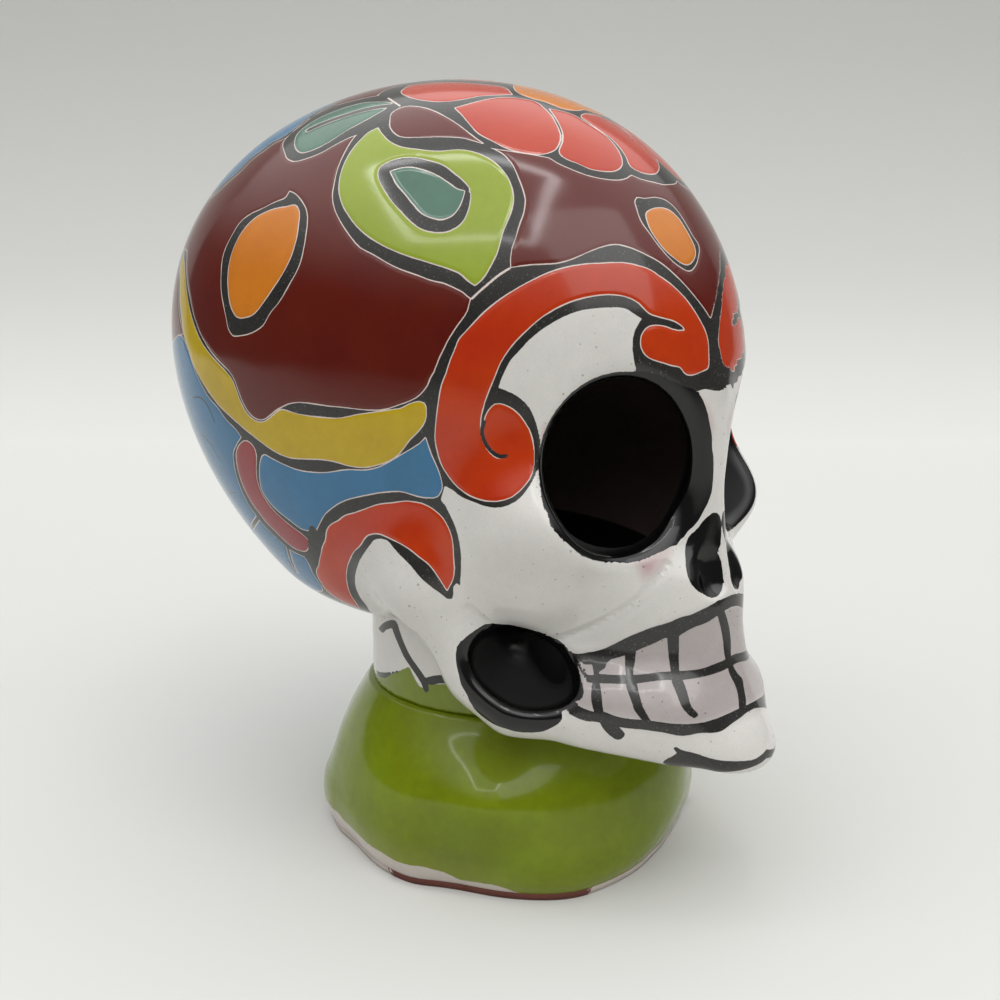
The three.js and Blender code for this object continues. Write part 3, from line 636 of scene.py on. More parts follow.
        (690, 396), (700, 398), (710, 408), (714, 424), (712, 440), (705, 424), (698, 408)],
    "toothGround": [
        (565, 655), (590, 656), (620, 647), (660, 630), (700, 614), (741, 594), (20, -80, 70), (761, 696),
        (740, 714), (700, 728), (660, 728), (600, 717), (556, 706), (570, 690)],
}
# Rear of the cranium, which the picture doesn't show: a second flower on the blue ground
rearFlower = {
    "centre": (0, 112, 150),
    "petals": 7,
    "petalReach": (12, 34),
    "petalWidth": 11,
    "heart": 9,
    "leaves": [((-46, 84, 112), -35), ((-38, 78, 196), 40)],
    "leafHalf": (18, 8),
}
strokes = {
    "tealVein": ([(309.5, 129.5), (328, 121.5), (344, 116), (360, 111), (376, 107.5), (393, 105.5)], 1.0),
    "scrollHook": (
        [(484, 422), (482, 430), (483.5, 439), (488, 447.5), (494, 453.5), (500, 456.5), (506, 456)], 0.5),
    "crossUpper": ([(258, 518), (252, 528)], 0.6),
    "crossLower": ([(288, 549), (291, 560), (296, 572)], 0.5),
    "stripeFoot": ([(313, 530), (312, 545), (313, 560)], 1.4),
    "backStrokeA": ([(200, 433), (210, 443), (219, 459)], 0.25),
    "backStrokeB": ([(193, 397), (201.5, 398.5), (208, 406.5), (215, 422.5)], 0.25),
    "backStrokeC": ([(222, 487), (235, 493)], 0.25),
}
whiteStrokes = {
    "leafTip": ([(472, 298.5), (480, 291), (491, 281.5), (501, 273.5), (509.5, 268.5)], 0.28),
    "petalGap": ([(388, 98), (394, 102), (400, 106)], 0.28),
}
# Soft creases that the thumb left in the cheek
folds = [
    [(557, 640), (577.5, 632.7), (599, 624), (621, 612), (638, 600), (650, 586.7), (662, 574.5), (667, 565)],
    [(468.5, 608.5), (477, 616), (486, 624)]]
neckOutlines = {
    "longStroke": [
        (380, 626), (385, 622), (392, 620), (396, 621), (400, 632), (405, 645), (411, 657), (418, 667),
        (423, 674), (426, 680), (429, 690), (427, 693), (425, 692), (421, 683), (416, 675), (410, 666),
        (404, 657), (399, 646), (394, 634), (392, 628), (386, 630), (383, 633), (378, 628)],
    "lensStroke": [
        (376, 670), (380, 672), (390, 672), (400, 670), (400, 670.5), (392, 674), (386, 677.5), (380, 677),
        (376, 672)],
    "sideStroke": [
        (425, 678), (432, 676), (441, 675), (446, 676), (446, 683.5), (440, 683.5), (428, 684)],
}

# What each colour of the painting covers: an area, less the ink of what stands on it
leafInks = ("largeLeafInk", "tealLeafInk", "limeLeafInk", "flowerInk", "smallLeafInk", "scrollInk")
painting = {
    "burgundy": [("burgundyField", leafInks), ("burgundyPetal", ())],
    "orange": [("scroll", ()), ("earArch", ())],
    "yellow": [("yellowBand", ())],
    "blue": [("bluePanel", ()),
             ("blueBack", ("rearFlowerInk", "rearLeafInk", "crossUpper", "crossLower", "tealLeafInk"))],
    "lime": [("limeLeaf", ("teardropInk",)), ("rearLeaves", ())],
    "teal": [("tealLeaf", ("tealVein",)), ("teardrop", ())],
    "amber": [("largeLeaf", ()), ("smallLeaf", ()), ("flowerCentre", ()), ("rearHeart", ())],
    "coral": [(name, ()) for name in (
        "petalBack", "petalSide", "petalFront", "petalMiddle", "petalRear", "rearPetals")],
    "red": [("stripe", ())],
    "painted": [("painted", ())],
    "black": [("socketRim", ()), ("nostril", ()), ("cheekHole", ())],
    "ink": [(name, ()) for name in (
        "gumStroke", "biteStroke", "lipStroke", "toothLineBack",
        "toothLineSide", "toothLineFront", "toothLineMiddle", "chinStroke", *strokes)],
    "white": [(name, ()) for name in whiteStrokes],
    "toothGround": [("toothGround", ())],
    "blush": [("blushNose", ()), ("blushTemple", ()), ("blushLip", ())],
}
# Distances in millimetres. The middle areas are painted once, and the shifted ones mirror about a plane that
# stands a little off the middle, as the hand left them.
paint = {
    "reach": 3.0,
    "whiteLine": 0.32,
    "middle": ("petalMiddle", "toothLineMiddle", "smallLeaf", "smallLeafInk"),
    "shifted": ("scroll", "scrollInk", "burgundyField", "painted"),
    "shift": -1.9,
    "farRimLess": 2.5,
    "beyond": 1.5,
    # Below this depth the skin is black: black glaze on the walls of the openings, painted shade in the
    # hollow
    "blackGlazeAndShadeDepth": 0.8,
    # Height above which the hollow is bare clay; below it the hollow keeps the black painted shade
    "clayAboveShadeBelow": 90,
    "chartCentre": (0, -8.4, 112),
}


# Directions from inside the skull, as a flat chart round the near side
def chartOf(places):
    q = places - paint["chartCentre"]
    angle = np.arccos(np.clip(-q[:, 0] / np.linalg.norm(q, axis=1), -1, 1))
    flat = q[:, 1:] / np.maximum(np.linalg.norm(q[:, 1:], axis=1), 1e-9)[:, None]
    return flat * angle[:, None]


def distanceTo(line, places, closed, half):
    starts, ends = (line, np.roll(line, -1, 0)) if closed else (line[:-1], line[1:])
    if half:
        kept = (starts[:, 0] < paint["beyond"]) | (ends[:, 0] < paint["beyond"])
        starts, ends = starts[kept], ends[kept]
    reach, run = paint["reach"], 12
    far = np.full(len(places), reach)
    around = np.flatnonzero(((places > line.min(0) - reach) & (places < line.max(0) + reach)).all(1))
    close = places[around]
    for first in range(0, len(starts), run):
        a, b = starts[first:first + run], ends[first:first + run]
        low, high = np.minimum(a, b).min(0) - reach, np.maximum(a, b).max(0) + reach
        near = np.flatnonzero(((close > low) & (close < high)).all(1))
        if len(near) == 0:
            continue
        q, along = close[near][:, None] - a, b - a
        share = np.clip((q * along).sum(2) / ((along * along).sum(1) + 1e-12), 0, 1)
        gap = np.linalg.norm(q - share[..., None] * along, axis=2).min(1)
        far[around[near]] = np.minimum(far[around[near]], gap)
    return far


def withinOf(ring, chart):
    within = np.zeros(len(chart), bool)
    around = np.flatnonzero(((chart > ring.min(0)) & (chart < ring.max(0))).all(1))
    x, y = chart[around].T
    inside = np.zeros(len(around), bool)
    for (x0, y0), (x1, y1) in zip(ring, np.roll(ring, -1, 0)):
        if y0 != y1:
            inside ^= ((y0 <= y) != (y1 <= y)) & (x < x0 + (y - y0) / (y1 - y0) * (x1 - x0))
    within[around] = inside
    return within


# Rings of the rear flower, laid out flat behind the skull and settled onto it
def rearRings():
    centre = np.array(rearFlower["centre"], float)
    rings = {"rearPetals": [], "rearHeart": [], "rearLeaves": [], "rearFlowerInk": [], "rearLeafInk": []}

    def onRear(u, v):
        return settle(fromSkull, centre + np.stack([u, np.zeros(len(u)), v], 1), rounds=30, most=3)

    round_ = np.arange(0, 2 * math.pi, math.pi / 30)
    near, far = rearFlower["petalReach"]
    for i in range(rearFlower["petals"]):
        turn = 2 * math.pi * (i + 0.5) / rearFlower["petals"]
        across = math.cos(turn), math.sin(turn)
        length = (near + far) / 2 - (far - near) / 2 * np.cos(round_)
        width = rearFlower["petalWidth"] * np.sin(round_) * (0.62 + 0.3 * (length - near) / (far - near))
        for name, grow in (("rearPetals", 0), ("rearFlowerInk", 2.2)):
            l = length - grow * np.cos(round_)
            w = width + grow * np.sin(round_)
            rings[name].append(onRear(l * across[1] + w * across[0], l * across[0] - w * across[1]))
    for name, size in (("rearHeart", rearFlower["heart"]), ("rearFlowerInk", rearFlower["heart"] + 6)):
        rings[name].append(onRear(size * np.cos(round_), size * np.sin(round_)))
    for place, tilt in rearFlower["leaves"]:
        c, s = math.cos(math.radians(tilt)), math.sin(math.radians(tilt))
        for name, grow in (("rearLeaves", 0), ("rearLeafInk", 1.8)):
            long, wide = [half + grow for half in rearFlower["leafHalf"]]
            u = long * np.cos(round_)
            v = wide * np.sin(round_) * (1 - 0.35 * np.cos(round_))
            offset = np.array(place, float) - centre
            rings[name].append(onRear(u * c - v * s + offset[0], u * s + v * c + offset[2]))
    return rings


print("casting the painting")
rings = {name: [roundedLine(outline, fromSkull)] for name, outline in outlines.items()}
rings.update(rearRings())
brushed = {name: (roundedLine(points, fromSkull, closed=False), width)
           for name, (points, width) in {**strokes, **whiteStrokes}.items()}
print("outlines:", len(rings), "with", sum(len(ring) for group in rings.values() for ring in group), "points")


foldLines = [roundedLine(fold, fromSkull, closed=False) for fold in folds]


# Distances in millimetres to every colour's edge, less than zero inside
def paintAt(places):
    reach = paint["reach"]
    folded, shifted = picturedSide(places), places.copy()
    shifted[:, 0] = paint["shift"] - np.abs(places[:, 0] - paint["shift"])
    ways = {name: (there, chartOf(there)) for name, there in
            (("folded", folded), ("shifted", shifted), ("whole", places))}
    known = {}

    def distanceOf(name):
        if name in known:
            return known[name]
        if name in brushed:
            line, width = brushed[name]
            known[name] = distanceTo(line, folded, False, False) - width
            return known[name]
        middle = name in paint["middle"] or name.startswith("rear") and not name.startswith("rearLea")
        there, flat = ways["whole" if middle else "shifted" if name in paint["shifted"] else "folded"]
        total = np.full(len(places), reach)
        for ring in rings[name]:
            far = distanceTo(ring, there, True, not middle)
            total = np.minimum(total, np.where(withinOf(chartOf(ring), flat), -far, far))
        if name == "socketRim":
            total = np.where(places[:, 0] > 0, total + paint["farRimLess"], total)
        known[name] = total
        return total

    values = []
    for areas in painting.values():
        total = np.full(len(places), reach)
        for name, cuts in areas:
            area = distanceOf(name)
            for cut in cuts:
                area = np.maximum(area, paint["whiteLine"] - distanceOf(cut))
            total = np.minimum(total, area)
        values.append(total)
    return np.stack(values, 1)


# How the skins are meshed, in millimetres
meshing = {
    "cell": 1.5,
    "quickCell": 2.5,
    "lowest": 38,
    "room": 6,
    "rounds": 2,
    "sharpness": 0.06,
    "margin": 0.9,
    "shortest": 0.3,
    "deepest": -1.5,
}


# Splits edges wherever a straight run between their ends would blur the painting
def refined(places, triangles, kinds, form, rounds):
    values, depth = paintAt(places), fromSkull(places)
    black, sharpness, margin = paint["blackGlazeAndShadeDepth"], meshing["sharpness"], meshing["margin"]
    for _ in range(rounds):
        ends = np.sort(triangles[:, [0, 1, 1, 2, 2, 0]].reshape(-1, 2), 1)
        keys, where = np.unique(ends[:, 0] * len(places) + ends[:, 1], return_inverse=True)
        where = where.reshape(-1, 3)
        edges = np.stack([keys // len(places), keys % len(places)], 1)
        a, b = places[edges[:, 0]], places[edges[:, 1]]
        length = np.linalg.norm(a - b, axis=1)
        near = np.abs(values[edges]).min((1, 2)) < length + margin
        near |= np.abs(depth[edges] + black).min(1) < length
        outer = depth[edges].min(1) > meshing["deepest"]
        tried = np.flatnonzero(near & outer & (length > meshing["shortest"]))
        middle = settle(form, (a[tried] + b[tried]) / 2, rounds=2)
        flat = (np.abs(a[tried, 1] - partingY) < 1e-6) & (np.abs(b[tried, 1] - partingY) < 1e-6)
        middle[flat, 1] = partingY
        middleValues = paintAt(middle)
        middleDepth = fromSkull(middle)
        error = np.abs(middleValues - values[edges[tried]].mean(1))
        blurred = ((error > sharpness) & (np.abs(middleValues) < margin)).any(1)
        error = np.abs(middleDepth - depth[edges[tried]].mean(1))
        blurred |= (error > sharpness) & (np.abs(middleDepth + black) < margin)
        marked = np.zeros(len(edges), bool)
        marked[tried[blurred]] = True
        number = np.full(len(edges), -1)
        number[tried[blurred]] = len(places) + np.arange(blurred.sum())
        places = np.vstack([places, middle[blurred]])
        values = np.vstack([values, middleValues[blurred]])
        depth = np.concatenate([depth, middleDepth[blurred]])
        marks, fresh, parts = marked[where], number[where], []
        count = marks.sum(1)
        parts.append((triangles[count == 0], kinds[count == 0]))
        full = count == 3
        t, n = triangles[full].T, fresh[full].T
        parts += [(np.stack(three, 1), kinds[full]) for three in (
            (t[0], n[0], n[2]), (n[0], t[1], n[1]), (n[2], n[1], t[2]), (n[0], n[1], n[2]))]
        for k in range(3):
            one = (count == 1) & marks[:, k]
            t, n = np.roll(triangles[one], -k, 1).T, fresh[one, k]
            parts += [(np.stack(three, 1), kinds[one]) for three in ((t[0], n, t[2]), (n, t[1], t[2]))]
            two = (count == 2) & ~marks[:, k]
            t, n = np.roll(triangles[two], -k - 1, 1).T, np.roll(fresh[two], -k - 1, 1).T
            parts += [(np.stack(three, 1), kinds[two]) for three in (
                (n[0], t[1], n[1]), (t[0], n[0], n[1]), (t[0], n[1], t[2]))]
        triangles = np.concatenate([part[0] for part in parts])
        kinds = np.concatenate([part[1] for part in parts])
    return places, triangles, kinds, values, depth


def makeObject(name, mesh):
    piece = bpy.data.objects.new(name, mesh)
    bpy.context.scene.collection.objects.link(piece)
    return piece


def meshOf(name, points, faces):
    mesh = bpy.data.meshes.new(name)
    mesh.from_pydata(points.tolist(), [], faces.tolist())
    mesh.update()
    return mesh


# Normals straight from the field, so that the glaze mirrors a smooth form
def smoothNormals(mesh, places, form, kinds=None):
    slopes = slopeOf(form, places, 0.12)
    slopes /= np.linalg.norm(slopes, axis=1)[:, None]
    corner = np.zeros(len(mesh.loops), int)
    mesh.loops.foreach_get("vertex_index", corner)
    normals = slopes[corner]
    if kinds is not None:
        flat = np.zeros(len(mesh.polygons) * 3)
        mesh.polygons.foreach_get("normal", flat)
        cap = np.repeat(kinds == 1, 3)
        normals[cap] = np.repeat(flat.reshape(-1, 3), 3, 0)[cap]
    mesh.shade_smooth()
    mesh.normals_split_custom_set(normals.tolist())


def addVectors(mesh, names, columns):
    for name, start in zip(names, range(0, columns.shape[1], 3)):
        attribute = mesh.attributes.new(name, "FLOAT_VECTOR", "POINT")
        three = np.ascontiguousarray(columns[:, start:start + 3], np.float32)
        attribute.data.foreach_set("vector", three.ravel())


# The parting line between the face and the rear of the cranium, where the clay parts meet
partingY = (rearLow.y - axisOffset[1]) / mm - 0.15
paintNames = ("paintWarm", "paintCool", "paintBright", "paintInk", "paintGround", "paintDepth")


def clayPart(name, points, faces, side):
    bm = bmesh.new()
    bm.from_mesh(meshOf(name + "Skin", points, faces))
    everything = bm.verts[:] + bm.edges[:] + bm.faces[:]
    bmesh.ops.bisect_plane(bm, geom=everything, plane_co=(0, partingY, 0), plane_no=(0, side, 0), dist=1e-4,
                           clear_inner=True)
    rim = [edge for edge in bm.edges if edge.is_boundary]
    filled = bmesh.ops.triangle_fill(bm, edges=rim, use_beauty=True, normal=(0, -side, 0))
    for cap in filled["geom"]:
        if isinstance(cap, bmesh.types.BMFace):
            cap.material_index = 1
            if cap.normal.y * side > 0:
                cap.normal_flip()
    bmesh.ops.triangulate(bm, faces=bm.faces[:], quad_method="SHORT_EDGE")
    mesh = bpy.data.meshes.new(name + "Cut")
    bm.to_mesh(mesh)
    bm.free()
    places = np.zeros(len(mesh.vertices) * 3)
    mesh.vertices.foreach_get("co", places)
    places = places.reshape(-1, 3)
    places[np.abs(places[:, 1] - partingY) < 1e-3, 1] = partingY
    triangles = np.zeros(len(mesh.polygons) * 3, int)
    mesh.polygons.foreach_get("vertices", triangles)
    kinds = np.zeros(len(mesh.polygons), int)
    mesh.polygons.foreach_get("material_index", kinds)
    places, triangles, kinds, values, depth = refined(
        places, triangles.reshape(-1, 3), kinds, fromClay, meshing["rounds"])
    mesh = meshOf(name, inMetres(places), triangles)
    mesh.polygons.foreach_set("material_index", kinds)
    smoothNormals(mesh, places, fromClay, kinds)
    columns = values.copy()
    # Everything more than a set depth under the outside is black: black glaze on the walls of the openings
    # and nostrils, and painted shade on the hollow's inner wall. That wall is bare clay only above a set
    # height, so that the painted shade below it keeps the cheek openings dark.
    black = list(painting).index("black")
    columns[:, black] = np.minimum(columns[:, black], depth + paint["blackGlazeAndShadeDepth"])
    hollow = np.abs(fromCast(oneSide(places)) + skull["wall"])
    hollow += np.maximum(paint["clayAboveShadeBelow"] - places[:, 2], 0)
    fold = np.minimum(*[distanceTo(line, picturedSide(places), False, False) for line in foldLines])
    columns = np.column_stack([columns, depth, hollow, fold])
    addVectors(mesh, paintNames, columns)
    print(name, "has", len(triangles), "triangles")
    return makeObject(name, mesh)


low = inMillimetres([cadBox[0]])[0] - meshing["room"]
high = inMillimetres([cadBox[1]])[0] + meshing["room"]
cellSize = meshing["cell"]
skinPoints, skinFaces = surfaceOf(fromClay, [low[0], low[1], meshing["lowest"]], high, cellSize)
print("clay skin:", len(skinPoints), "points,", len(skinFaces), "faces")
rear = clayPart("rearCranium", skinPoints, skinFaces, 1)
face = clayPart("face", skinPoints, skinFaces, -1)


# Materials. Colours are written as they look in daylight.
def shade(red, green, blue):
    return tuple(c / 12.92 if c < 0.04045 else ((c + 0.055) / 1.055) ** 2.4
                 for c in (red / 255, green / 255, blue / 255)) + (1,)


def addNode(tree, kind, *inputs, **settings):
    node = tree.nodes.new("ShaderNode" + kind)
    for name, value in settings.items():
        setattr(node, name, value)
    for socket, value in zip(node.inputs, inputs):
        feed(tree, socket, value)
    return node


def feed(tree, socket, value):
    if isinstance(value, bpy.types.NodeSocket):
        tree.links.new(value, socket)
    elif value is not None:
        socket.default_value = value


def calc(tree, operation, a, b=None, c=None, clamped=False):
    return addNode(tree, "Math", a, b, c, operation=operation, use_clamp=clamped).outputs[0]


def mixed(tree, share, a, b):
    node = addNode(tree, "Mix", data_type="RGBA")
    for index, value in ((0, share), (6, a), (7, b)):
        feed(tree, node.inputs[index], value)
    return node.outputs[2]


def easedFrom(tree, value, low, high, atLow, atHigh):
    node = addNode(tree, "MapRange", value, low, high, atLow, atHigh, interpolation_type="SMOOTHSTEP")
    return node.outputs[0]


def objectPlace(tree):
    return addNode(tree, "TexCoord").outputs["Object"]


def noiseAt(tree, scale, detail=2, roughness=0.5):
    return addNode(tree, "TexNoise", objectPlace(tree), None, scale, detail, roughness).outputs[0]


def storedValue(tree, name):
    return addNode(tree, "Attribute", attribute_name=name).outputs["Fac"]


def newGroup(name, inputs, outputs):
    tree = bpy.data.node_groups.new(name, "ShaderNodeTree")
    for label, value in inputs.items():
        kind = "NodeSocketColor" if isinstance(value, tuple) else "NodeSocketFloat"
        tree.interface.new_socket(label, in_out="INPUT", socket_type=kind).default_value = value
    for label, kind in outputs.items():
        tree.interface.new_socket(label, in_out="OUTPUT", socket_type="NodeSocket" + kind)
    return tree, tree.nodes.new("NodeGroupInput").outputs, tree.nodes.new("NodeGroupOutput").inputs


def useGroup(tree, group, *inputs):
    node = tree.nodes.new("ShaderNodeGroup")
    node.node_tree = group
    for socket, value in zip(node.inputs, inputs):
        feed(tree, socket, value)
    return node.outputs


# How the glaze varies. Scales are waves in a metre, finer as they grow, and heights are millimetres.
variation = {
    "edgeScale": 800,
    "edgeSharpness": 9,
    "lineScale": 150,
    "lineSpread": 1.6,
    "cloudScale": 55,
    "markScale": 320,
    "markShare": 0.6,
    "grainScale": 2600,
    "strength": 3.0,
    "hueShare": 0.12,
    "speckSharpness": 25,
    "waveScale": 26,
    "pitScale": 1500,
    "pitHeight": 0.02,
}


# A brushed edge: inside the colour, and a thin line of bare white glaze round it
def makeBrushEdge():
    tree, given, wanted = newGroup(
        "brushEdge", {"Distance": 1.0, "Wobble": 0.1, "Line": 0.32}, {"Fill": "Float", "Line": "Float"})
    sharp = variation["edgeSharpness"]
    wander = calc(tree, "SUBTRACT", noiseAt(tree, variation["edgeScale"], 3), 0.5)
    edge = calc(tree, "MULTIPLY_ADD", wander, given["Wobble"], given["Distance"])
    feed(tree, wanted["Fill"], calc(tree, "MULTIPLY_ADD", edge, -sharp, 0.5, clamped=True))
    width = calc(tree, "MULTIPLY_ADD", noiseAt(tree, variation["lineScale"]), variation["lineSpread"], 0.2)
    outside = calc(tree, "MULTIPLY_ADD", width, given["Line"], calc(tree, "MULTIPLY", edge, -1))
    feed(tree, wanted["Line"], calc(tree, "MULTIPLY_ADD", outside, sharp, 0.5, clamped=True))
    return tree


# A glaze's own colour: broad clouds, brush marks and fine grain
def makeCloudedColour():
    tree, given, wanted = newGroup(
        "cloudedColour", {"Colour": (0.5, 0.5, 0.5, 1), "Clouds": 0.12, "Grain": 0.08}, {"Colour": "Color"})
    clouds = calc(tree, "SUBTRACT", noiseAt(tree, variation["cloudScale"], 3), 0.5)
    marks = calc(tree, "SUBTRACT", noiseAt(tree, variation["markScale"], 3, 0.6), 0.5)
    grain = calc(tree, "SUBTRACT", noiseAt(tree, variation["grainScale"]), 0.5)
    both = calc(tree, "MULTIPLY_ADD", marks, variation["markShare"], clouds)
    broad = calc(tree, "MULTIPLY", given["Clouds"], variation["strength"])
    fine = calc(tree, "MULTIPLY", given["Grain"], variation["strength"])
    level = calc(tree, "MULTIPLY_ADD", grain, fine, calc(tree, "MULTIPLY_ADD", both, broad, 1))
    hueShift = calc(tree, "MULTIPLY", given["Clouds"], variation["hueShare"])
    hue = calc(tree, "MULTIPLY_ADD", clouds, hueShift, 0.5)
    feed(tree, wanted["Colour"], addNode(tree, "HueSaturation", hue, 1, level, 1, given["Colour"]).outputs[0])
    return tree


# Dark specks of iron in the glaze, in some cells of a scattered pattern
def makeGlazeSpecks():
    tree, given, wanted = newGroup(
        "glazeSpecks", {"Scale": 300.0, "Share": 0.15, "Size": 0.12}, {"Mask": "Float"})
    cells = addNode(tree, "TexVoronoi", objectPlace(tree), None, given["Scale"])
    pick = addNode(tree, "SeparateColor", cells.outputs["Color"]).outputs
    kept = calc(tree, "LESS_THAN", pick[0], given["Share"])
    size = calc(tree, "MULTIPLY", given["Size"], calc(tree, "ADD", pick[1], 0.3))
    reach = calc(tree, "SUBTRACT", size, cells.outputs["Distance"])
    dot = calc(tree, "MULTIPLY_ADD", reach, variation["speckSharpness"], 0, clamped=True)
    feed(tree, wanted["Mask"], calc(tree, "MULTIPLY", dot, kept))
    return tree


# The glaze's skin in millimetres: slow waves left by the hand, fine pits, and the relief of what lies on it
def makeGlazeSkin():
    tree, given, wanted = newGroup(
        "glazeSkin", {"Waves": 0.4, "Pits": 0.1, "Relief": 0.0}, {"Normal": "Vector"})
    slow, fine = noiseAt(tree, variation["waveScale"], 1), noiseAt(tree, variation["pitScale"])
    waves = calc(tree, "MULTIPLY_ADD", slow, given["Waves"], given["Relief"])
    pits = calc(tree, "MULTIPLY", given["Pits"], variation["pitHeight"])
    bump = addNode(tree, "Bump")
    feed(tree, bump.inputs["Strength"], 1.0)
    feed(tree, bump.inputs["Distance"], mm)
    feed(tree, bump.inputs["Height"], calc(tree, "MULTIPLY_ADD", fine, pits, waves))
    feed(tree, wanted["Normal"], bump.outputs["Normal"])
    return tree


brushEdge, cloudedColour = makeBrushEdge(), makeCloudedColour()
glazeSpecks, glazeSkin = makeGlazeSpecks(), makeGlazeSkin()

glaze = {
    "white": shade(214, 211, 206),
    "toothWhite": shade(172, 164, 162),
    "whiteLine": shade(216, 202, 194),
    "blush": shade(176, 128, 132),
    "ink": shade(42, 41, 39),
    "dust": shade(130, 128, 122),
    "speck": shade(92, 84, 78),
    "fineSpeck": shade(110, 102, 96),
    "plainSpeck": shade(90, 84, 78),
    "black": shade(8, 7, 7),
    "hollow": shade(138, 120, 114),
    "burgundy": shade(90, 18, 3),
    "orange": shade(182, 50, 6),
    "yellow": shade(188, 159, 6),
    "blue": shade(50, 110, 150),
    "lime": shade(142, 160, 44),
    "teal": shade(74, 112, 95),
    "amber": shade(204, 120, 28),
    "coral": shade(182, 56, 30),
    "red": shade(146, 44, 50),
    "whiteLineWidth": 0.27,
    "roughness": 0.12,
    "hollowRoughness": 0.6,
    "refraction": 1.5,
    "waves": 0.9,
    "pits": 0.3,
    "relief": 0.09,
    "foldWidth": 2.1,
    "foldDepth": 0.45,
    "specks": (330.0, 0.2, 0.13),
    "fineSpecks": (1000.0, 0.12, 0.22),
    "plainSpecks": (330.0, 0.15, 0.13),
    "inkDust": (1500.0, 0.5, 0.3),
    "dustShare": 0.35,
}
# How much each painted colour clouds, in the order that the colours are laid
cloudsOf = {"burgundy": 0.1, "orange": 0.1, "yellow": 0.12, "blue": 0.12, "lime": 0.07, "teal": 0.14,
            "amber": 0.08, "coral": 0.07, "red": 0.08}


def clouded(tree, colour, clouds, grain=0.05):
    return useGroup(tree, cloudedColour, colour, clouds, grain)["Colour"]


def brushedAt(tree, distance, wobble=0.2):
    return useGroup(tree, brushEdge, distance, wobble, 0.3)["Fill"]


def glossyMaterial(name, roughness, refraction=glaze["refraction"]):
    material = bpy.data.materials.new(name)
    material.use_nodes = True
    shader = material.node_tree.nodes["Principled BSDF"]
    shader.inputs["Roughness"].default_value = roughness
    shader.inputs["IOR"].default_value = refraction
    return material, material.node_tree, shader


# White glaze, greyer on the teeth, with rosy touches and specks
def whiteGround(tree, distances):
    white = clouded(tree, glaze["white"], 0.05, 0.06)
    toTeeth = calc(tree, "MULTIPLY_ADD", distances["toothGround"], -0.2, 0.5, clamped=True)
    white = mixed(tree, toTeeth, white, clouded(tree, glaze["toothWhite"], 0.08))
    toBlush = calc(tree, "MULTIPLY_ADD", distances["blush"], -0.3, 0.35, clamped=True)
    white = mixed(tree, calc(tree, "MULTIPLY", toBlush, noiseAt(tree, 90, 3)), white, glaze["blush"])
    speckled = calc(tree, "MULTIPLY_ADD", toTeeth, 0.5, 0.45)
    for kind, colour in (("specks", "speck"), ("fineSpecks", "fineSpeck")):
        specks = useGroup(tree, glazeSpecks, *glaze[kind])["Mask"]
        white = mixed(tree, calc(tree, "MULTIPLY", specks, speckled), white, glaze[colour])
    return white


# Brushed ink, a little chalky where it is thin
def dustyInk(tree):
    thin = calc(tree, "MULTIPLY_ADD", noiseAt(tree, 120), 3.5, -1.2, clamped=True)
    dust = calc(tree, "MULTIPLY", useGroup(tree, glazeSpecks, *glaze["inkDust"])["Mask"], thin)
    share = calc(tree, "MULTIPLY", dust, glaze["dustShare"])
    return mixed(tree, share, clouded(tree, glaze["ink"], 0.3, 0.4), glaze["dust"])


def paintedGlaze():
    material, tree, shader = glossyMaterial("paintedGlaze", glaze["roughness"])
    distances = {}
    names = [*painting, "depth", "hollow", "fold"]
    for i, attribute in enumerate(paintNames):
        vector = addNode(tree, "Attribute", attribute_name=attribute).outputs["Vector"]
        split = addNode(tree, "SeparateXYZ", vector).outputs
        distances.update(zip(names[3 * i:3 * i + 3], split))
    ink, line = dustyInk(tree), clouded(tree, glaze["whiteLine"], 0.05)
    colour = mixed(tree, brushedAt(tree, distances["painted"], 0.25), whiteGround(tree, distances), ink)
    deepest = distances["burgundy"]
    for name, clouds in cloudsOf.items():
        deepest = calc(tree, "MINIMUM", deepest, distances[name])
        edge = useGroup(tree, brushEdge, distances[name], 0.14, glaze["whiteLineWidth"])
        colour = mixed(tree, edge["Line"], colour, line)
        colour = mixed(tree, edge["Fill"], colour, clouded(tree, glaze[name], clouds))
    colour = mixed(tree, brushedAt(tree, distances["ink"]), colour, ink)
    colour = mixed(tree, brushedAt(tree, distances["white"]), colour, line)
    colour = mixed(tree, brushedAt(tree, distances["black"], 0.15), colour, glaze["black"])
    toHollow = calc(tree, "MULTIPLY_ADD", distances["hollow"], -2, 1.6, clamped=True)
    feed(tree, shader.inputs["Base Color"], mixed(tree, toHollow, colour, glaze["hollow"]))
    farIn = calc(tree, "MULTIPLY_ADD", distances["depth"], -0.35, -0.6, clamped=True)
    roughness = calc(tree, "MULTIPLY_ADD", farIn, glaze["hollowRoughness"], glaze["roughness"])
    feed(tree, shader.inputs["Roughness"], roughness)
    raised = easedFrom(tree, deepest, 0.3, -1.1, 0.0, glaze["relief"])
    sunk = easedFrom(tree, distances["fold"], 0.0, glaze["foldWidth"], -glaze["foldDepth"], 0.0)
    skin = useGroup(tree, glazeSkin, glaze["waves"], glaze["pits"], calc(tree, "ADD", raised, sunk))
    feed(tree, shader.inputs["Normal"], skin["Normal"])
    return material


# A glaze of one colour. What stands in relief on it is a function of the material's tree.
def plainGlaze(name, colour, clouds, speckled=0.3, refraction=glaze["refraction"], waves=glaze["waves"],
               relief=None):
    material, tree, shader = glossyMaterial(name, glaze["roughness"], refraction)
    specks = useGroup(tree, glazeSpecks, *glaze["plainSpecks"])["Mask"]
    share = calc(tree, "MULTIPLY", specks, speckled)
    ground = mixed(tree, share, clouded(tree, colour, clouds), glaze["plainSpeck"])
    feed(tree, shader.inputs["Base Color"], ground)
    skin = useGroup(tree, glazeSkin, waves, glaze["pits"], relief and relief(tree))
    feed(tree, shader.inputs["Normal"], skin["Normal"])
    return material, tree, shader, ground


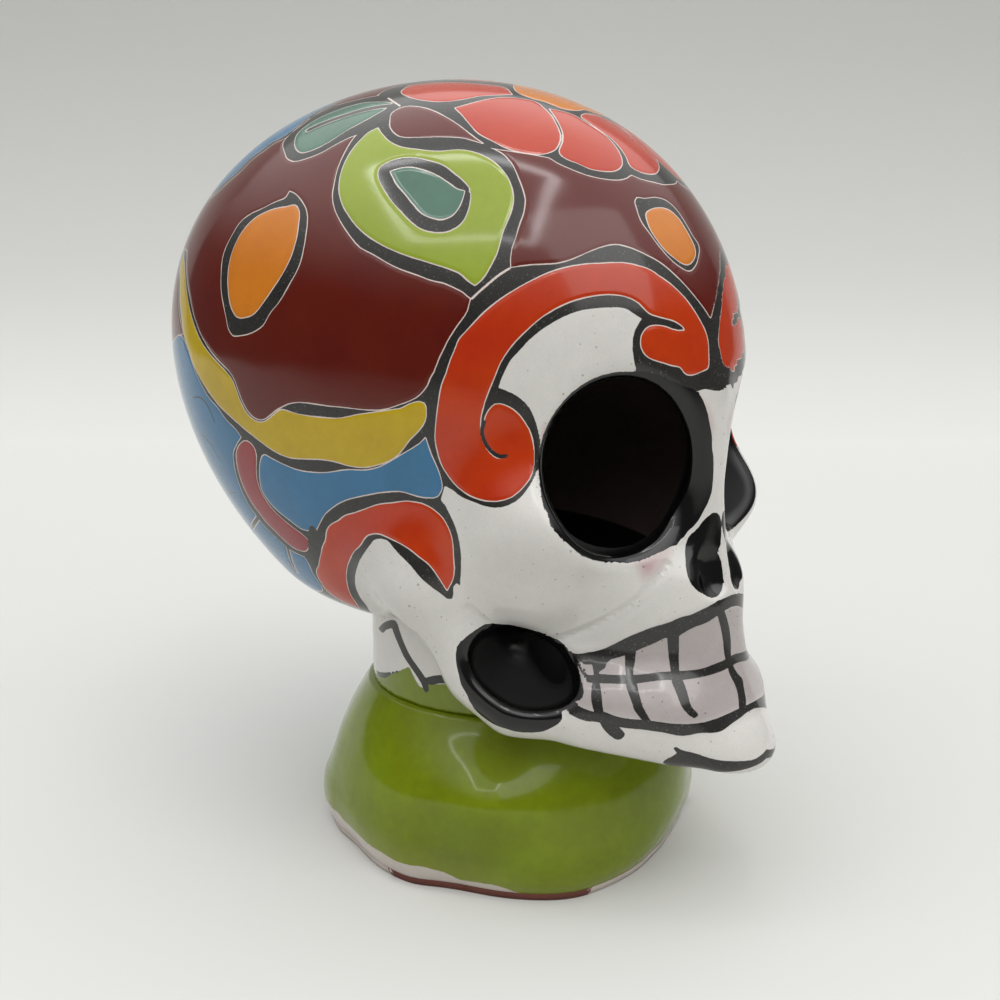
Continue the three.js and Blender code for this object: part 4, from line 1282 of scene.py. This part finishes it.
skullGlaze = paintedGlaze()
seamGlaze = plainGlaze("seamGlaze", glaze["white"], 0.03)[0]
for piece in (rear, face):
    piece.data.materials.append(skullGlaze)
    piece.data.materials.append(seamGlaze)
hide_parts("rear_cranium_shell")
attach(rear, "root")
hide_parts("face_shell", "mandible", "upper_teeth", "lower_teeth")
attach(face, "root")
print("skull glazed")

# The neck, the bell and the bare foot. The foot's outline on the floor and the edges of the lime glaze are
# pixels of the picture.
base = {
    "wall": 6.5,
    "bellShares": [(0.953, 0.05), (0.983, 0.13), (1, 0.27), (0.99, 0.38), (0.955, 0.57), (0.894, 0.75),
                   (0.836, 0.88), (0.772, 1)],
    "footHeight": 2,
    "footTaper": 0.6,
    "spokes": 256,
    "steps": 7,
    "floorFade": 26,
    "hiddenRadius": 53.5,
    "hiddenLime": 4.0,
    "bareFrom": ((392, 875), (590, 894)),
    "bareBehind": -0.2,
    "lumpPixel": (486, 776),
    "lumpLean": (-0.139, -0.104, -0.411),
    "lumpReach": 14,
    "lumpHeight": 2,
    "lime": shade(112, 128, 12),
    "thinLime": shade(158, 164, 72),
    "limeClouds": 0.2,
    "limeWaves": 2.2,
    "refraction": 1.38,
    "band": shade(205, 196, 188),
    "shadedInsideNeck": shade(40, 26, 20),
    "clay": shade(104, 58, 48),
    "slip": shade(196, 186, 178),
    "clayRoughness": 0.85,
    "neckCell": 0.9,
    "quickNeckCell": 1.6,
}
footPixels = [
    (331, 805), (337, 825), (342, 833), (350, 839), (360, 848), (372, 861), (380, 868), (392, 875),
    (400, 879), (410, 883), (420, 885), (440, 887), (460, 890), (480, 894), (500, 897.5), (520, 899.5),
    (540, 900.5), (560, 900), (575, 898), (590, 894), (600, 890), (612, 885), (625, 878), (640, 868),
    (650, 858), (662, 845), (668, 835), (676, 822), (682, 806), (685, 795)]
limeEdgePixels = [
    (337, 811.5), (345, 821.5), (356, 832), (366, 842), (381, 852), (394, 860), (408, 865), (420, 866),
    (432, 869), (446, 873), (460, 880), (474, 882), (491.5, 884.5), (499, 886.5), (513, 891), (527, 896),
    (541, 901), (583, 895), (596, 891), (604, 886.5), (616, 879), (627, 872), (641.5, 861)]
limeTopPixels = [
    (376, 673.5), (388, 675), (399, 671), (409, 666.5), (414, 677), (419, 686), (424.5, 689), (428, 684),
    (445, 684)]
bellRadius = (bellHigh.x - bellLow.x) / 2 / mm
bellTop = bellHigh.z / mm
bellFoot = bellLow.z / mm
neckRadius = (neckHigh.x - neckLow.x) / 2 / mm
neckTop = neckHigh.z / mm
fullTurn = 2 * math.pi


def throughPoints(points, steps):
    points = np.array(points, float)
    ends = np.vstack([2 * points[0] - points[1], points, 2 * points[-1] - points[-2]])
    line = []
    for a, b, c, d in zip(ends, ends[1:], ends[2:], ends[3:]):
        for t in np.arange(steps) / steps:
            line.append(0.5 * (2 * b + (c - a) * t + (2 * a - 5 * b + 4 * c - d) * t * t
                               + (3 * b - a - 3 * c + d) * t ** 3))
    return np.array(line + [points[-1]])


def turnOf(p):
    return np.arctan2(p[:, 1], p[:, 0])


# A value that is known at some turns round the axis, eased to a plain one behind
def roundTheAxis(angles, known, values, plain):
    order = np.argsort(known)
    known, values = known[order], values[order]
    gap = math.radians(35)
    known = np.concatenate([[known[0] - gap], known, [known[-1] + gap]])
    values = np.concatenate([[plain], values, [plain]])
    return np.interp((angles - known[0]) % fullTurn + known[0], known, values)


floorRays = raysThrough(footPixels)
floorPlaces = cameraPlace + floorRays * (-cameraPlace[2] / floorRays[:, 2])[:, None]
angles = np.arange(base["spokes"]) * 2 * math.pi / base["spokes"]
floorTurns = turnOf(floorPlaces) % fullTurn
floorRadii = np.hypot(floorPlaces[:, 0], floorPlaces[:, 1])
footRadius = roundTheAxis(angles, floorTurns, floorRadii, base["hiddenRadius"])
for _ in range(3):
    footRadius = (np.roll(footRadius, 1) + 2 * footRadius + np.roll(footRadius, -1)) / 4


# The bell's outside at a turn and height: the turned profile, pulled to the foot's outline near the floor
bellProfile = throughPoints([(r * bellRadius, z * bellTop) for r, z in base["bellShares"]], base["steps"])
bellProfile[0, 1] = bellFoot


def bellSide(turns, heights):
    radius = np.interp(heights, bellProfile[:, 1], bellProfile[:, 0])
    foot = np.interp(turns % fullTurn, np.append(angles, fullTurn), np.append(footRadius, footRadius[0]))
    share = np.clip(1 - (heights - bellFoot) / base["floorFade"], 0, 1)
    pull = share * share * (3 - 2 * share)
    return radius + (foot + base["footTaper"] - bellProfile[0, 0]) * pull


def fromBell(p):
    return (np.hypot(p[:, 0], p[:, 1]) - bellSide(turnOf(p), p[:, 2])) * 0.8


def ringOf(name, outer, heights):
    inner = outer - base["wall"]
    rows, spokes = outer.shape
    radii = np.concatenate([outer, inner[::-1]])
    levels = np.repeat(np.concatenate([heights, heights[::-1]])[:, None], spokes, 1)
    points = np.stack([radii * np.cos(angles), radii * np.sin(angles), levels], -1).reshape(-1, 3)
    row, spoke = np.meshgrid(np.arange(2 * rows), np.arange(spokes), indexing="ij")
    up, on = (row + 1) % (2 * rows), (spoke + 1) % spokes
    faces = np.stack([row * spokes + spoke, row * spokes + on, up * spokes + on, up * spokes + spoke], -1)
    return points, makeObject(name, meshOf(name, inMetres(points), faces.reshape(-1, 4)))


def storeValues(piece, name, values, reach):
    attribute = piece.data.attributes.new(name, "FLOAT", "POINT")
    attribute.data.foreach_set("value", np.clip(values, -reach, reach).astype(np.float32))


# Height over the edge of a glaze whose pixels are cast onto a round form
def overEdge(places, form, pixels, plain=None):
    onForm = castOnto(form, pixels)
    plain = onForm[:, 2].mean() if plain is None else plain
    return places[:, 2] - roundTheAxis(turnOf(places), turnOf(onForm) % fullTurn, onForm[:, 2], plain)


heights = bellProfile[:, 1]
bellOuter = np.stack([bellSide(angles, np.full(len(angles), height)) for height in heights])
bellPlaces, bell = ringOf("bell", bellOuter, heights)
footHeights = np.array([0, base["footHeight"] / 2, bellFoot])
footOuter = footRadius[None] + base["footTaper"] * (footHeights / bellFoot)[:, None]
footPlaces, foot = ringOf("foot", footOuter, footHeights)
storeValues(bell, "limeAbove", overEdge(bellPlaces, fromBell, limeEdgePixels, base["hiddenLime"]), 20)

# Bare clay shows between two turns of the foot, behind it and inside
bareTurns = floorTurns[[footPixels.index(pixel) for pixel in base["bareFrom"]]]
footTurns = turnOf(footPlaces)
sides = (np.sort(bareTurns) - footTurns[:, None] + math.pi) % fullTurn - math.pi
bareHere = np.minimum(-sides[:, 0], sides[:, 1]) * base["hiddenRadius"]
behindFoot = np.cos(footTurns - bareTurns.mean()) < base["bareBehind"]
inFoot = np.arange(len(footPlaces)) >= len(footPlaces) / 2
storeValues(foot, "bare", np.where(inFoot | behindFoot, 8, bareHere), 8)


def fromNeck(p):
    radius = np.hypot(p[:, 0], p[:, 1])
    ring = np.abs(radius - neckRadius + base["wall"] / 2) - base["wall"] / 2
    ring = np.maximum(ring, np.abs(p[:, 2] - (bellTop + neckTop + 20) / 2) - (neckTop + 20 - bellTop) / 2)
    return cutRound(ring, -(fromSkull(p) + 1), 0.5)


def fromColumn(p):
    return np.hypot(p[:, 0], p[:, 1]) - neckRadius


neckCell = base["neckCell"]
neckPlaces, neckFaces = surfaceOf(fromNeck, [-50, -50, bellTop - 3], [50, 50, neckTop + 8], neckCell)
neck = makeObject("neck", meshOf("neck", inMetres(neckPlaces), neckFaces))
neckFold = picturedSide(neckPlaces)
neckInk = np.full(len(neckPlaces), paint["reach"])
for outline in neckOutlines.values():
    ring = roundedLine(outline, fromNeck)
    far = distanceTo(ring, neckFold, True, False)
    neckInk = np.minimum(neckInk, np.where(withinOf(chartOf(ring), chartOf(neckFold)), -far, far))
storeValues(neck, "neckInk", neckInk, paint["reach"])
storeValues(neck, "neckLime", overEdge(neckPlaces, fromColumn, limeTopPixels), 8)
inNeck = np.hypot(neckPlaces[:, 0], neckPlaces[:, 1]) < neckRadius - base["wall"] + 1
storeValues(neck, "neckInside", inNeck, 1)


# A thumb's lump in the bell's side: a tilt that fades out round its middle, in millimetres
def bellLump(tree):
    middle = inMetres(castOnto(fromBell, [base["lumpPixel"]]))[0]
    offset = addNode(tree, "VectorMath", objectPlace(tree), tuple(middle), operation="SUBTRACT").outputs[0]
    lean = tuple(slope / mm for slope in base["lumpLean"])
    tilt = addNode(tree, "VectorMath", offset, lean, operation="DOT_PRODUCT").outputs["Value"]
    span = addNode(tree, "VectorMath", offset, operation="LENGTH").outputs["Value"]
    span = calc(tree, "DIVIDE", span, base["lumpReach"] * mm)
    fade = calc(tree, "EXPONENT", calc(tree, "MULTIPLY", calc(tree, "MULTIPLY", span, span), -1))
    return calc(tree, "MULTIPLY", calc(tree, "ADD", tilt, base["lumpHeight"]), fade)


# Lime glaze that thins towards its edge, over a band of white
def limeGlaze():
    material, tree, shader, lime = plainGlaze(
        "limeGlaze", base["lime"], base["limeClouds"], 0.15, base["refraction"], base["limeWaves"], bellLump)
    above = storedValue(tree, "limeAbove")
    thin = calc(tree, "MULTIPLY_ADD", above, -0.12, 1, clamped=True)
    lime = mixed(tree, calc(tree, "MULTIPLY", thin, 0.3), lime, base["thinLime"])
    edge = brushedAt(tree, calc(tree, "MULTIPLY", above, -1), 0.7)
    colour = mixed(tree, edge, clouded(tree, base["band"], 0.06, 0.08), lime)
    feed(tree, shader.inputs["Base Color"], colour)
    return material


def neckGlaze():
    material, tree, shader, white = plainGlaze("neckGlaze", glaze["white"], 0.04)
    onNeck = clouded(tree, base["lime"], base["limeClouds"])
    colour = mixed(tree, brushedAt(tree, storedValue(tree, "neckLime"), 0.5), white, onNeck)
    ink = clouded(tree, glaze["ink"], 0.2, 0.3)
    colour = mixed(tree, brushedAt(tree, storedValue(tree, "neckInk")), colour, ink)
    # The neck's inner wall is coloured dark brown, darker than the bare clay: painted shade inside the
    # hollow.
    inside = storedValue(tree, "neckInside")
    feed(tree, shader.inputs["Base Color"], mixed(tree, inside, colour, base["shadedInsideNeck"]))
    feed(tree, shader.inputs["Roughness"], calc(tree, "MULTIPLY_ADD", inside, 0.7, glaze["roughness"]))
    return material


def bareClay():
    material, tree, shader = glossyMaterial("bareClay", base["clayRoughness"])
    bareAt = calc(tree, "MULTIPLY", storedValue(tree, "bare"), -0.25)
    slip, clay = clouded(tree, base["slip"], 0.08, 0.1), clouded(tree, base["clay"], 0.2, 0.25)
    feed(tree, shader.inputs["Base Color"], mixed(tree, brushedAt(tree, bareAt, 1.5), slip, clay))
    feed(tree, shader.inputs["Normal"], useGroup(tree, glazeSkin, 0.3, 3)["Normal"])
    return material


for piece, node, material, slot in ((neck, "neck_column", neckGlaze(), "neck_glaze"),
                                    (bell, "base_bell", limeGlaze(), "lime_glaze"),
                                    (foot, "foot_rim", bareClay(), "bare_clay")):
    piece.data.materials.append(material)
    piece.data.shade_smooth()
    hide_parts(node)
    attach(piece, "root")
print("neck, bell and foot made")

# Camera, floor and lights
studio = {
    "ringCentre": (-321, -102),
    "ringHeight": 655,
    "ringSide": 435,
    "ringTurn": 32,
    "stripWidth": 0.028,
    "stripPower": 0.26,
    "keyPlace": (-0.2, -0.8, 0.86),
    "keyTarget": (0, 0, 0.12),
    "keySize": 0.72,
    "keyPower": 2.2,
    "skyHigh": 1.5,
    "skyLow": 0.14,
    "skyFrom": 0.28,
    "skyTo": 0.82,
    "backdrop": shade(203, 204, 198),
    # Shares of the paper's colour, which hold painted light and shade: near the skull, further back, up the
    # wall and towards the camera
    "floorShade": 0.67,
    "farShade": 0.86,
    "farFrom": (0.1, 0.9),
    "wallShade": 0.785,
    "wallFrom": (0.0, 0.24),
    "frontFrom": (-0.9, -0.13),
    "frontShade": 0.45,
    "paperBlue": 0.965,
}
camera = bpy.data.objects.new("camera", bpy.data.cameras.new("camera"))
scene = bpy.context.scene
scene.collection.objects.link(camera)
camera.data.lens = picture["sensor"] * picture["focal"] / picture["size"]
camera.data.sensor_width = picture["sensor"]
camera.data.clip_start = 0.01
camera.location = inMetres(cameraPlace)
camera.rotation_euler = (math.radians(90 - picture["elevation"]), 0, turn)
scene.camera = camera
scene.view_settings.view_transform = "Standard"


def softPanel(name, place, size, power):
    lamp = bpy.data.lights.new(name, "AREA")
    lamp.shape = "RECTANGLE"
    lamp.size, lamp.size_y = size
    lamp.energy = power
    holder = bpy.data.objects.new(name, lamp)
    holder.location = place
    scene.collection.objects.link(holder)
    return holder


ringTurn, half = math.radians(studio["ringTurn"]), studio["ringSide"] / 2
for i in range(4):
    side = ringTurn + i * math.pi / 2
    centre = np.array([studio["ringCentre"][0] + half * math.cos(side),
                       studio["ringCentre"][1] + half * math.sin(side), studio["ringHeight"]])
    strip = softPanel("strip" + "ABCD"[i], inMetres(centre), (studio["stripWidth"], studio["ringSide"] * mm),
                      studio["stripPower"])
    strip.rotation_euler = (0, 0, side)
key = softPanel("key", studio["keyPlace"], (studio["keySize"], studio["keySize"]), studio["keyPower"])
towards = Vector(studio["keyTarget"]) - Vector(studio["keyPlace"])
key.rotation_euler = towards.to_track_quat("-Z", "Y").to_euler()

# A sky that is dark at the horizon and bright above, with the paper's own shade behind it
world = bpy.data.worlds.new("studio")
scene.world = world
world.use_nodes = True
tree = world.node_tree
background = tree.nodes["Background"]
background.inputs["Strength"].default_value = 1
cameraRay = addNode(tree, "LightPath").outputs["Is Camera Ray"]
direction = addNode(tree, "SeparateXYZ", addNode(tree, "TexCoord").outputs["Generated"]).outputs["Z"]
sky = easedFrom(tree, direction, studio["skyFrom"], studio["skyTo"], studio["skyLow"], studio["skyHigh"])
feed(tree, background.inputs["Color"], mixed(tree, cameraRay, sky, studio["backdrop"]))

# A sheet of paper that lies on the floor and curves up behind. Its colour holds painted light and shade:
# lighter further back, darker up the wall, and darker towards the camera where the picture doesn't show it.
sweep = {"near": -1.2, "bend": 0.9, "radius": 0.6, "top": 1.6, "half": 2.0, "steps": 16}
profile = [(sweep["near"], 0), (sweep["bend"], 0)]
for i in range(1, sweep["steps"] + 1):
    a = math.pi / 2 * i / sweep["steps"]
    profile.append((sweep["bend"] + sweep["radius"] * math.sin(a), sweep["radius"] * (1 - math.cos(a))))
profile.append((sweep["bend"] + sweep["radius"], sweep["top"]))
deep = np.array([-cameraBack[0], -cameraBack[1], 0])
deep /= np.linalg.norm(deep)
sweepPoints = np.array([deep * away + cameraRight * across + np.array([0, 0, height])
                        for away, height in profile for across in (-sweep["half"], sweep["half"])])
sweepFaces = np.array([(2 * i, 2 * i + 1, 2 * i + 3, 2 * i + 2) for i in range(len(profile) - 1)])
floor = makeObject("floor", meshOf("floor", sweepPoints, sweepFaces))
floor.data.shade_smooth()


def paperMaterial():
    paper = bpy.data.materials.new("paper")
    paper.use_nodes = True
    tree = paper.node_tree
    shader = tree.nodes["Principled BSDF"]
    place = objectPlace(tree)
    away = addNode(tree, "VectorMath", place, tuple(deep), operation="DOT_PRODUCT").outputs["Value"]
    high = addNode(tree, "SeparateXYZ", place).outputs["Z"]
    shades = studio["floorShade"], studio["farShade"]
    # Painted light and shade: the paper is lighter further back, and darker up the wall and towards the
    # camera
    level = addNode(tree, "MapRange", away, *studio["farFrom"], *shades).outputs[0]
    paintedShadeUpTheWall = easedFrom(tree, high, *studio["wallFrom"], 0.0, studio["farShade"] - studio["wallShade"])
    front = easedFrom(tree, away, *studio["frontFrom"], studio["frontShade"], 1.0)
    level = calc(tree, "MULTIPLY", calc(tree, "SUBTRACT", level, paintedShadeUpTheWall), front)
    blue = calc(tree, "MULTIPLY", level, studio["paperBlue"])
    feed(tree, shader.inputs["Base Color"], addNode(tree, "CombineColor", level, level, blue).outputs[0])
    shader.inputs["Roughness"].default_value = 0.9
    shader.inputs["Specular IOR Level"].default_value = 0.1
    return paper


floor.data.materials.append(paperMaterial())
